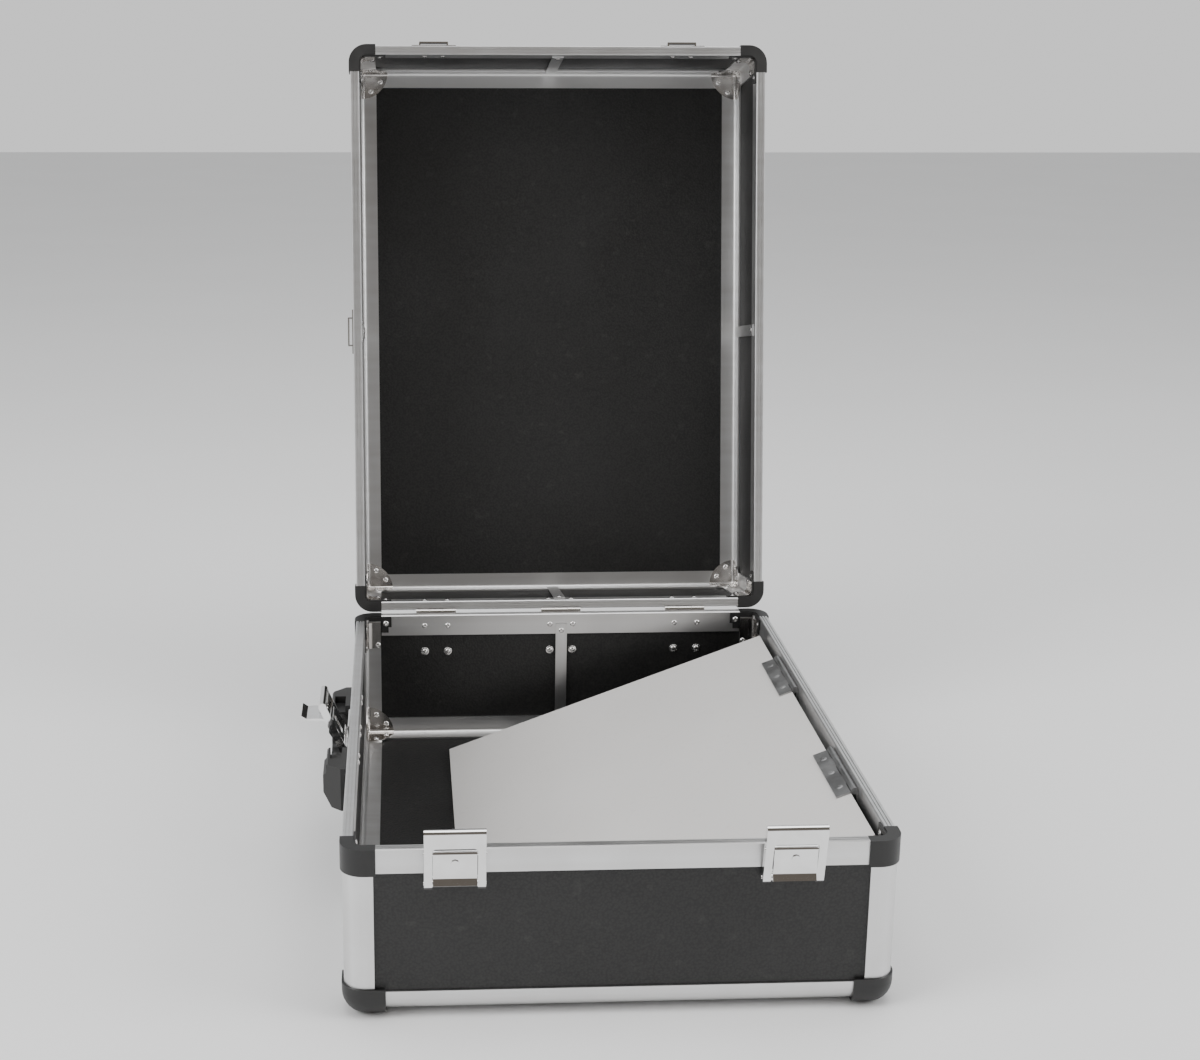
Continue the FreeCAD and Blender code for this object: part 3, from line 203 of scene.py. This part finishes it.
class Effect(Enum):
    """The node groups that several finishes share."""

    DRAWN_LINES = "drawn_lines"
    HANDLING = "handling"
    PEBBLE = "pebble"

    def tree(self) -> bpy.types.NodeTree:
        """The effect's node group, built at its first use."""
        makers = {
            Effect.DRAWN_LINES: drawn_lines_group,
            Effect.HANDLING: handling_group,
            Effect.PEBBLE: pebble_group,
        }
        return bpy.data.node_groups.get(self.value) or makers[self]()


def effect(g: Graph, which: Effect, sockets: dict) -> bpy.types.Node:
    """Places a shared effect in a material, with its own values."""
    node = g.add("Group", node_tree=which.tree())
    for key, value in sockets.items():
        if isinstance(value, bpy.types.NodeSocket):
            g.tree.links.new(value, node.inputs[key])
        else:
            node.inputs[key].default_value = value
    return node


def grey(level: float, warmth: float = 0.0) -> tuple[float, float, float, float]:
    """A linear grey, a little warm or cool."""
    return (level * (1 + warmth), level, level * (1 - warmth), 1.0)


def start_material(name: str, turn: float = 0.0) -> tuple[bpy.types.Material, Graph, bpy.types.NodeSocket]:
    """A new material with Object coordinates, turned back about X for a piece that leans.

    Args:
        name: The material's name.
        turn: The piece's lean about X at rest, in radians.

    Returns:
        The material, a graph in it and the coordinates.
    """
    material = bpy.data.materials.new(name)
    material.use_nodes = True
    g = Graph(material.node_tree)
    place = g.add("TexCoord").outputs["Object"]
    at = g.add("Mapping", {"Vector": place, "Rotation": (-turn, 0.0, 0.0)}).outputs[0]
    return material, g, at


def close_material(g: Graph, shader_sockets: dict, height: bpy.types.NodeSocket, depth: float) -> None:
    """Ends a material with a Principled shader and a bump.

    Args:
        g: The material's graph.
        shader_sockets: The shader's inputs.
        height: The bump's height, from nothing to full.
        depth: The real depth of the full height, in metres.
    """
    bump = g.add("Bump", {"Height": height, "Distance": depth, "Strength": 1.0})
    shader = g.add("BsdfPrincipled", shader_sockets)
    g.tree.links.new(bump.outputs[0], shader.inputs["Normal"])
    out = g.add("OutputMaterial")
    g.tree.links.new(shader.outputs[0], out.inputs[0])


class Run(Enum):
    """Which way an extrusion runs: how often its lines change along X, Y and Z, a metre."""

    ALONG_X = (6.0, 1500.0, 1500.0)
    ALONG_Y = (1500.0, 6.0, 1500.0)
    UPRIGHT = (1500.0, 1500.0, 6.0)


@dataclass(frozen=True)
class Anodised:
    """Satin anodised aluminium with the die lines of an extrusion."""

    name: str
    level: float = 0.72
    roughness: float = 0.36
    lines: float = 0.000008

    def material(self, run: Run, turn: float = 0.0) -> bpy.types.Material:
        """The finish for pieces that run one way."""
        material, g, at = start_material(f"{self.name}_{run.name.lower()}", turn)
        drawn = effect(g, Effect.DRAWN_LINES, {"Vector": at, "Run": run.value})
        marks = effect(g, Effect.HANDLING, {"Vector": at, "Scale": 22.0})
        tone = g.blend(drawn.outputs["Tone"], grey(self.level * 0.95, 0.006), grey(self.level * 1.04, -0.004))
        colour = g.blend(
            g.maths("MULTIPLY", marks.outputs["Smear"], 0.16), tone, grey(self.level * 0.82, 0.02)
        )
        rough = g.maths("ADD", self.roughness, g.maths("MULTIPLY", marks.outputs["Smear"], 0.07))
        close_material(
            g,
            {"Base Color": colour, "Metallic": 1.0, "Roughness": rough},
            drawn.outputs["Height"],
            self.lines,
        )
        return material


@dataclass(frozen=True)
class PebbledPanel:
    """A near-black plastic face with pressed pebble grain."""

    name: str
    level: float = 0.011
    cells: float = 640.0
    depth: float = 0.00016

    def material(self, turn: float = 0.0) -> bpy.types.Material:
        """The finish of a panel, turned with the lid where it leans."""
        material, g, at = start_material(self.name, turn)
        grain = effect(g, Effect.PEBBLE, {"Vector": at, "Scale": self.cells})
        marks = effect(g, Effect.HANDLING, {"Vector": at, "Scale": 9.0})
        # Painted light on the grain: the crests are painted lighter as a highlight and the valleys darker as
        # shade.
        grain_light_and_shade = g.blend(grain.outputs["Valley"], grey(self.level * 1.25, 0.03), grey(self.level * 0.6))
        # Pale specks painted over the grain as glints.
        grain_shade_and_glints = g.blend(g.maths("MULTIPLY", marks.outputs["SpeckAndGlint"], 0.05), grain_light_and_shade, grey(0.16, 0.05))
        rough = g.mapped(marks.outputs["Smear"], 0.0, 1.0, 0.42, 0.52)
        close_material(
            g,
            {"Base Color": grain_shade_and_glints, "Roughness": rough, "Specular IOR Level": 0.5},
            grain.outputs["Height"],
            self.depth,
        )
        return material


@dataclass(frozen=True)
class MouldedPlastic:
    """Black satin plastic with a fine spark texture."""

    name: str
    level: float = 0.012
    roughness: float = 0.42

    def material(self, turn: float = 0.0) -> bpy.types.Material:
        """The finish of a moulded piece."""
        material, g, at = start_material(self.name, turn)
        spark = g.add("TexNoise", {"Vector": at, "Scale": 3200.0, "Detail": 2.0, "Roughness": 0.7})
        marks = effect(g, Effect.HANDLING, {"Vector": at, "Scale": 30.0})
        colour = g.blend(marks.outputs["Smear"], grey(self.level), grey(self.level * 1.7, 0.03))
        rough = g.maths("ADD", self.roughness, g.maths("MULTIPLY", marks.outputs["Smear"], 0.08))
        close_material(
            g, {"Base Color": colour, "Roughness": rough}, spark.outputs[0], 0.00003
        )
        return material


@dataclass(frozen=True)
class BrightMetal:
    """Plated or polished metal, with faint smears and pressing waves."""

    name: str
    level: float = 0.8
    warmth: float = 0.0
    roughness: float = 0.08
    waves: float = 0.00003

    def material(self, turn: float = 0.0) -> bpy.types.Material:
        """The finish of a bright piece."""
        material, g, at = start_material(self.name, turn)
        marks = effect(g, Effect.HANDLING, {"Vector": at, "Scale": 60.0})
        wave = g.add("TexNoise", {"Vector": at, "Scale": 90.0, "Detail": 1.0})
        colour = g.blend(
            g.maths("MULTIPLY", marks.outputs["Smear"], 0.5),
            grey(self.level, self.warmth),
            grey(self.level * 0.86, self.warmth + 0.02),
        )
        rough = g.mapped(marks.outputs["Smear"], 0.0, 1.0, self.roughness, self.roughness + 0.09)
        close_material(
            g, {"Base Color": colour, "Metallic": 1.0, "Roughness": rough}, wave.outputs[0], self.waves
        )
        return material


@dataclass(frozen=True)
class DullZinc:
    """Grey zinc plate, mottled and half matt."""

    name: str
    level: float = 0.34

    def material(self) -> bpy.types.Material:
        """The finish of the board's hinges."""
        material, g, at = start_material(self.name)
        mottle = g.add("TexNoise", {"Vector": at, "Scale": 260.0, "Detail": 4.0})
        marks = effect(g, Effect.HANDLING, {"Vector": at, "Scale": 50.0})
        colour = g.blend(mottle.outputs[0], grey(self.level * 0.82, 0.01), grey(self.level * 1.2, -0.01))
        rough = g.mapped(marks.outputs["Smear"], 0.0, 1.0, 0.38, 0.55)
        close_material(
            g, {"Base Color": colour, "Metallic": 1.0, "Roughness": rough}, mottle.outputs[0], 0.00002
        )
        return material


@dataclass(frozen=True)
class BoardFace:
    """A pale plastic-faced board, a little warm, with faint scuffs."""

    name: str
    level: float = 0.66

    def material(self) -> bpy.types.Material:
        """The finish of the hinged board."""
        material, g, at = start_material(self.name)
        cloud = g.add("TexNoise", {"Vector": at, "Scale": 7.0, "Detail": 3.0})
        fibre = g.add("TexNoise", {"Vector": at, "Scale": 1400.0, "Detail": 2.0})
        marks = effect(g, Effect.HANDLING, {"Vector": at, "Scale": 16.0})
        tone = g.blend(cloud.outputs[0], grey(self.level * 0.97, 0.03), grey(self.level * 1.03, 0.022))
        colour = g.blend(g.maths("MULTIPLY", marks.outputs["SpeckAndGlint"], 0.1), tone, grey(0.38, 0.06))
        rough = g.mapped(marks.outputs["Smear"], 0.0, 1.0, 0.4, 0.5)
        close_material(g, {"Base Color": colour, "Roughness": rough}, fibre.outputs[0], 0.00002)
        return material


# Mesh helpers


def fresh_start() -> None:
    """Leaves edit mode with nothing selected, so that the next operator acts on its own piece."""
    if bpy.context.object and bpy.context.object.mode != "OBJECT":
        bpy.ops.object.mode_set(mode="OBJECT")
    bpy.ops.object.select_all(action="DESELECT")


def select_only(piece: bpy.types.Object) -> None:
    """Selects one object and makes it active."""
    fresh_start()
    piece.select_set(True)
    bpy.context.view_layer.objects.active = piece


def pick_faces(piece: bpy.types.Object, wanted) -> None:
    """Selects in edit mode the faces that a test accepts."""
    mesh = bmesh.from_edit_mesh(piece.data)
    bpy.ops.mesh.select_mode(type="FACE")
    bpy.ops.mesh.select_all(action="DESELECT")
    for face in mesh.faces:
        face.select_set(bool(wanted(face)))
    mesh.select_flush_mode()
    bmesh.update_edit_mesh(piece.data)


def copies(pattern: bpy.types.Object, places: Iterable[Matrix]) -> list[bpy.types.Object]:
    """A copy of a piece at each place, with the place put into its own mesh."""
    made = []
    for place in places:
        copy = bpy.data.objects.new(pattern.name, pattern.data.copy())
        copy.data.transform(place)
        bpy.context.collection.objects.link(copy)
        made.append(copy)
    return made


def join(name: str, pieces: Sequence[bpy.types.Object]) -> bpy.types.Object:
    """One object from several, under a new name."""
    fresh_start()
    for piece in pieces:
        piece.select_set(True)
    bpy.context.view_layer.objects.active = pieces[0]
    bpy.ops.object.join()
    pieces[0].name = name
    return pieces[0]


def drop(piece: bpy.types.Object) -> None:
    """Removes a pattern that has been copied."""
    bpy.data.objects.remove(piece, do_unlink=True)


def place_on(point: Vector, outward: Vector) -> Matrix:
    """The place that stands a piece's Z along outward, at a point."""
    return Matrix.Translation(point) @ outward.to_track_quat("Z", "Y").to_matrix().to_4x4()


# Fasteners


@dataclass(frozen=True)
class Head:
    """Where one fastener's head stands, as read from its solid in the frame."""

    seat: Vector
    outward: Vector
    radius: float
    height: float


class HeadFinder:
    """Reads the heads of a group of fasteners from its frame node."""

    def __init__(self, nodes: dict[str, bpy.types.Object], skip: Sequence[str]) -> None:
        """Keeps the other nodes' surfaces, to tell a head's seat from its top."""
        points: list[Vector] = []
        faces: list[tuple[int, ...]] = []
        for name, node in nodes.items():
            if name in skip:
                continue
            first = len(points)
            points += [node.matrix_world @ v.co for v in node.data.vertices]
            faces += [tuple(first + i for i in p.vertices) for p in node.data.polygons]
        self.surfaces = BVHTree.FromPolygons(points, faces)

    def heads(self, node: bpy.types.Object) -> list[Head]:
        """Every head in a node, one for each of its separate solids."""
        mesh = bmesh.new()
        mesh.from_mesh(node.data)
        mesh.transform(node.matrix_world)
        bmesh.ops.remove_doubles(mesh, verts=mesh.verts, dist=0.00002)
        left = set(mesh.verts)
        found = []
        while left:
            island = self.island(left)
            faces = {face for vert in island for face in vert.link_faces}
            found.append(self.head(island, faces))
        mesh.free()
        return found

    @staticmethod
    def island(left: set) -> list:
        """Takes one connected set of points out of those that are left."""
        start = left.pop()
        island, queue = [start], [start]
        while queue:
            vert = queue.pop()
            for edge in vert.link_edges:
                other = edge.other_vert(vert)
                if other in left:
                    left.discard(other)
                    island.append(other)
                    queue.append(other)
        return island

    def head(self, island: list, faces: set) -> Head:
        """One head, from the solid's points and faces."""
        areas: dict[tuple, float] = {}
        for face in faces:
            key = tuple(round(v, 2) + 0.0 for v in face.normal)
            areas[key] = areas.get(key, 0.0) + face.calc_area()
        axis = Vector(max(areas, key=areas.get)).normalized()
        middle = sum((v.co for v in island), Vector()) / len(island)
        reach = [(v.co - middle).dot(axis) for v in island]
        gaps = {}
        for sign in (1, -1):
            start = middle + axis * sign * (max(sign * r for r in reach) - 0.0002)
            hit = self.surfaces.ray_cast(start, axis * sign, 0.01)
            gaps[sign] = hit[3] if hit[0] is not None else 1.0
        outward = -axis if gaps[1] < gaps[-1] else axis
        along = [(v.co - middle).dot(outward) for v in island]
        radius = max(((v.co - middle) - outward * (v.co - middle).dot(outward)).length for v in island)
        return Head(middle + outward * min(along), outward, radius, max(along) - min(along))


@dataclass
class Fasteners:
    """Domed rivet heads, washered rivets and cross-slotted screws."""

    radius: float = 2.3 * MM
    height: float = 1.1 * MM
    washer_radius: float = 3.3 * MM
    washer_height: float = 0.8 * MM
    slot_width: float = 0.7 * MM
    segments: int = 20

    def dome(self, radius: float, height: float, base: float = 0.0) -> bpy.types.Object:
        """A domed head that stands on z = base, drawn up from a flat disc in three steps.

        Args:
            radius: The head's radius.
            height: How high its crown stands above its base.
            base: The level of its underside.

        Returns:
            The head, at the origin.
        """
        fresh_start()
        flange = height * 0.2
        bpy.ops.mesh.primitive_cylinder_add(
            vertices=self.segments, radius=radius, depth=flange, location=(0, 0, base + flange / 2)
        )
        head = bpy.context.object
        bpy.ops.object.transform_apply(location=True)
        bpy.ops.object.mode_set(mode="EDIT")
        pick_faces(head, lambda face: face.normal.z > 0.9)
        bpy.ops.mesh.inset(thickness=radius * 0.08)
        steps = ((0.9, 0.24), (0.72, 0.28), (0.42, 0.2), (0.3, 0.08))
        for narrower, step in steps:
            bpy.ops.mesh.extrude_region_move(TRANSFORM_OT_translate={"value": (0, 0, height * step)})
            bpy.ops.transform.resize(value=(narrower, narrower, 1))
        bpy.ops.object.mode_set(mode="OBJECT")
        bpy.ops.object.shade_smooth_by_angle(angle=math.radians(50))
        return head

    def rivet(self) -> bpy.types.Object:
        """A plain rivet head with the small dimple that setting leaves in its crown."""
        head = self.dome(self.radius, self.height)
        bpy.ops.object.mode_set(mode="EDIT")
        pick_faces(head, lambda face: face.calc_center_median().z > self.height * 0.95)
        bpy.ops.mesh.extrude_region_move(TRANSFORM_OT_translate={"value": (0, 0, -self.height * 0.3)})
        bpy.ops.object.mode_set(mode="OBJECT")
        return head

    def washer_rivet(self) -> bpy.types.Object:
        """A rivet head on a plain washer with a rolled rim."""
        fresh_start()
        bpy.ops.mesh.primitive_cylinder_add(
            vertices=self.segments,
            radius=self.washer_radius,
            depth=self.washer_height,
            location=(0, 0, self.washer_height / 2),
        )
        washer = bpy.context.object
        bpy.ops.object.transform_apply(location=True)
        bevel = washer.modifiers.new("rolled", "BEVEL")
        bevel.width = self.washer_height * 0.35
        bevel.segments = 2
        bevel.limit_method = "ANGLE"
        bpy.ops.object.modifier_apply(modifier=bevel.name)
        bpy.ops.object.shade_smooth_by_angle(angle=math.radians(50))
        return join("washer_rivet", [washer, self.dome(self.radius, self.height, self.washer_height)])

    def screw(self, radius: float, height: float) -> bpy.types.Object:
        """A flat countersunk screw head with a cross slot.

        Args:
            radius: The head's radius.
            height: How far it stands above the leaf.

        Returns:
            The head, at the origin.
        """
        head = self.dome(radius, height)
        slots = []
        for turn in (0.0, math.pi / 2):
            fresh_start()
            bpy.ops.mesh.primitive_cube_add(size=1, location=(0, 0, height * 1.1), rotation=(0, 0, turn))
            cutter = bpy.context.object
            cutter.scale = (radius * 1.15, self.slot_width, height * 1.3)
            bpy.ops.object.transform_apply(location=True, rotation=True, scale=True)
            slots.append(cutter)
        for cutter in slots:
            select_only(head)
            notch = head.modifiers.new("slot", "BOOLEAN")
            notch.object = cutter
            notch.operation = "DIFFERENCE"
            notch.solver = "EXACT"
            bpy.ops.object.modifier_apply(modifier=notch.name)
            drop(cutter)
        return head

    def set_in(self, name: str, heads: Sequence[Head], patterns: dict[str, bpy.types.Object]) -> bpy.types.Object:
        """Copies of the patterns at every head of a node, joined into one piece.

        Args:
            name: The new piece's name.
            heads: Where the heads stand.
            patterns: The plain and the washered pattern.

        Returns:
            The joined piece.
        """
        limit = (self.radius + self.washer_radius) / 2
        made = []
        for kind, pattern in patterns.items():
            mine = [h for h in heads if (h.radius > limit) == (kind == "washered")]
            made += copies(pattern, [place_on(h.seat, h.outward) for h in mine])
        return join(name, made)


# The case


@dataclass
class Case:
    """The whole case: which finish each frame node gets, and what stands for the fasteners."""

    nodes: dict[str, bpy.types.Object]
    lid_turn: float

    def paint(self, name: str, material: bpy.types.Material) -> None:
        """Gives a frame node its finish."""
        node = self.nodes[name]
        node.data.materials.clear()
        node.data.materials.append(material)
        LOG.info("finish %s on %s", material.name, name)

    def dress_panels(self) -> None:
        """The black grained panels of the base and the lid."""
        for half, turn in (("base", 0.0), ("lid", self.lid_turn)):
            finish = PebbledPanel(f"{half}_pebble").material(turn)
            for name in self.nodes:
                if name.startswith(half) and name.endswith("_panel"):
                    self.paint(name, finish)

    def dress_frames(self) -> None:
        """The anodised rims, posts, edges, angles and strips."""
        for half, turn in (("base", 0.0), ("lid", self.lid_turn)):
            finish = Anodised(f"{half}_anodised")
            rails = finish.material(Run.ALONG_X, turn)
            uprights = finish.material(Run.UPRIGHT, turn)
            for part in ("rim", "edge_profiles", "inner_angles"):
                self.paint(f"{half}_{part}", rails)
            strips = "base_centre_strip" if half == "base" else "lid_centre_strips"
            for name in (f"{half}_corner_posts", strips):
                self.paint(name, uprights)

    def dress_plastic(self) -> None:
        """The collars, ball corners and the handle's mouldings."""
        for half, turn in (("base", 0.0), ("lid", self.lid_turn)):
            corner = MouldedPlastic(f"{half}_corner_plastic").material(turn)
            self.paint(f"{half}_rim_collars", corner)
            self.paint(f"{half}_ball_corners", corner)
        handle = MouldedPlastic("handle_plastic", roughness=0.46).material()
        for name in ("handle_front_bracket", "handle_back_bracket", "handle_grip"):
            self.paint(name, handle)

    def dress_fittings(self) -> None:
        """The plated corners, hinges and pins, and the chromed latches."""
        plated = BrightMetal("bright_plate", 0.62, 0.03, 0.16)
        for half, turn in (("base", 0.0), ("lid", self.lid_turn)):
            finish = BrightMetal(f"{half}_bright_plate", 0.62, 0.03, 0.16).material(turn)
            for part in ("inner_corners", "corner_brackets"):
                self.paint(f"{half}_{part}", finish)
        steel = plated.material()
        for name in ("hinge_base_leaves", "hinge_lid_leaves", "hinge_pins", "handle_pins"):
            self.paint(name, steel)
        chrome = BrightMetal("chrome", 0.84, 0.0, 0.05).material()
        for name in self.nodes:
            if name.endswith(("_hasp", "_lever", "_lever_pin", "_keeper", "_latch_plate")):
                self.paint(name, chrome)
        self.paint("latch_pivot_pins", chrome)

    def dress_board(self) -> None:
        """The pale board and its zinc hinges."""
        self.paint("hinged_board", BoardFace("board_face").material())
        zinc = DullZinc("dull_zinc").material()
        for name in ("board_hinge_fixed_leaves", "board_hinge_moving_leaves", "board_hinge_pins"):
            self.paint(name, zinc)

    def set_fasteners(self) -> None:
        """Domed rivets and slotted screws in place of the frame's plain heads."""
        groups = {"base_rivets": "base", "lid_rivets": "lid", "board_hinge_screws": "board"}
        finder = HeadFinder(self.nodes, list(groups))
        fasteners = Fasteners()
        bright = BrightMetal("rivet_bright", 0.78, 0.01, 0.18).material()
        zinc = DullZinc("screw_zinc", 0.45).material()
        patterns = {"plain": fasteners.rivet(), "washered": fasteners.washer_rivet()}
        for node, body in groups.items():
            heads = finder.heads(self.nodes[node])
            if body == "board":
                screw = fasteners.screw(heads[0].radius, heads[0].height)
                made = join("board_screw_heads", copies(screw, [place_on(h.seat, h.outward) for h in heads]))
                drop(screw)
            else:
                made = fasteners.set_in(f"{body}_rivet_heads", heads, patterns)
            made.data.materials.clear()
            made.data.materials.append(zinc if body == "board" else bright)
            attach(made, body)
            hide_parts(node)
            LOG.info("%d heads in %s", len(heads), made.name)
        for pattern in patterns.values():
            drop(pattern)

    def dress(self) -> None:
        """Every finish and piece, in order."""
        self.dress_panels()
        self.dress_frames()
        self.dress_plastic()
        self.dress_fittings()
        self.dress_board()
        self.set_fasteners()


# The studio


@dataclass
class Studio:
    """The floor, the soft light and the camera, placed from the middle of the base."""

    middle: Vector
    camera_from_middle: tuple[float, float, float] = (-0.1271, -1.2351, 0.5776)
    yaw: float = 0.0533
    pitch: float = 0.2677
    roll: float = 0.0041
    focal_pixels: float = 1894.4
    shift: tuple[float, float] = (0.083, 0.0016)
    sensor: float = 36.0

    def camera(self) -> None:
        """The camera at the photograph's place, turned by its yaw, pitch and roll."""
        forward = Vector(
            (
                math.sin(self.yaw) * math.cos(self.pitch),
                math.cos(self.yaw) * math.cos(self.pitch),
                -math.sin(self.pitch),
            )
        )
        level = Vector((math.cos(self.yaw), -math.sin(self.yaw), 0.0))
        over = level.cross(forward)
        right = level * math.cos(self.roll) + over * math.sin(self.roll)
        up = over * math.cos(self.roll) - level * math.sin(self.roll)
        lens = bpy.data.cameras.new("photo_camera")
        lens.sensor_width = self.sensor
        lens.sensor_fit = "HORIZONTAL"
        lens.lens = self.focal_pixels * self.sensor / PHOTO_WIDTH
        lens.clip_end = 50.0
        lens.shift_x, lens.shift_y = self.shift
        camera = bpy.data.objects.new("photo_camera", lens)
        turn = Matrix((right, up, -forward)).transposed().to_4x4()
        camera.matrix_world = Matrix.Translation(self.middle + Vector(self.camera_from_middle)) @ turn
        bpy.context.collection.objects.link(camera)
        bpy.context.scene.camera = camera

    def floor(self) -> None:
        """A wide pale floor under the feet."""
        fresh_start()
        bpy.ops.mesh.primitive_plane_add(size=14.0, location=(self.middle.x, self.middle.y, 0.0))
        floor = bpy.context.object
        floor.name = "pale_floor"
        material, g, at = start_material("pale_floor")
        cloud = g.add("TexNoise", {"Vector": at, "Scale": 3.0})
        tone = g.blend(cloud.outputs[0], grey(0.86), grey(0.9))
        close_material(g, {"Base Color": tone, "Roughness": 0.85}, cloud.outputs[0], 0.0)
        floor.data.materials.append(material)

    def softbox(
        self, name: str, offset: tuple[float, float, float], size: tuple[float, float], power: float
    ) -> None:
        """An area light that faces the case.

        Args:
            name: The light's name.
            offset: Its place from the middle of the base.
            size: Its width and height.
            power: Its power in watts.
        """
        lamp = bpy.data.lights.new(name, "AREA")
        lamp.shape = "RECTANGLE"
        lamp.size, lamp.size_y = size
        lamp.energy = power
        light = bpy.data.objects.new(name, lamp)
        target = self.middle + Vector((0.0, 0.0, 0.2))
        light.location = self.middle + Vector(offset)
        light.rotation_euler = (target - light.location).to_track_quat("-Z", "Y").to_euler()
        bpy.context.collection.objects.link(light)

    def light(self) -> None:
        """Soft boxes at both sides and above, in a pale surround that is dimmer behind the camera."""
        self.softbox("left_softbox", (-1.9, -0.9, 1.5), (1.2, 1.6), 34.0)
        self.softbox("right_softbox", (2.0, -0.7, 1.3), (1.2, 1.6), 26.0)
        self.softbox("top_softbox", (0.1, -0.2, 2.4), (2.0, 1.6), 30.0)
        world = bpy.context.scene.world or bpy.data.worlds.new("surround")
        bpy.context.scene.world = world
        world.use_nodes = True
        g = Graph(world.node_tree)
        direction = g.add("TexCoord").outputs["Generated"]
        toward = g.add("VectorMath", {0: direction, 1: (0.1, -0.8, 0.6)}, operation="DOT_PRODUCT")
        dim = g.mapped(toward.outputs["Value"], 0.55, 0.95, 0.0, 1.0)
        around = g.blend(dim, (0.9, 0.91, 0.92, 1.0), (0.16, 0.14, 0.12, 1.0))
        seen = g.add("LightPath").outputs["Is Camera Ray"]
        colour = g.blend(seen, around, (1.0, 1.0, 1.0, 1.0))
        glow = g.add("Background", {"Color": colour, "Strength": 0.9})
        out = g.add("OutputWorld")
        g.tree.links.new(glow.outputs[0], out.inputs[0])

    def build(self) -> None:
        """The camera, the floor and the lights."""
        self.camera()
        self.floor()
        self.light()


def joint_named(frame: dict, name: str) -> dict:
    """A joint of the record, by its name."""
    return next(j for j in frame["record"]["behaviour"]["joints"] if j["name"] == name)


def main() -> None:
    """Loads the frame, dresses the case and sets up the studio."""
    logging.basicConfig(level=logging.INFO, format="%(name)s: %(message)s")
    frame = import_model()
    floor_low, floor_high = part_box("base_floor_panel")
    middle = (floor_low + floor_high) / 2
    middle.z = 0.0
    lid_turn = math.radians(joint_named(frame, "lid_hinge")["range_deg"][0])
    Studio(middle).build()
    Case(frame["nodes"], -lid_turn).dress()


if __name__ == "__main__":
    main()
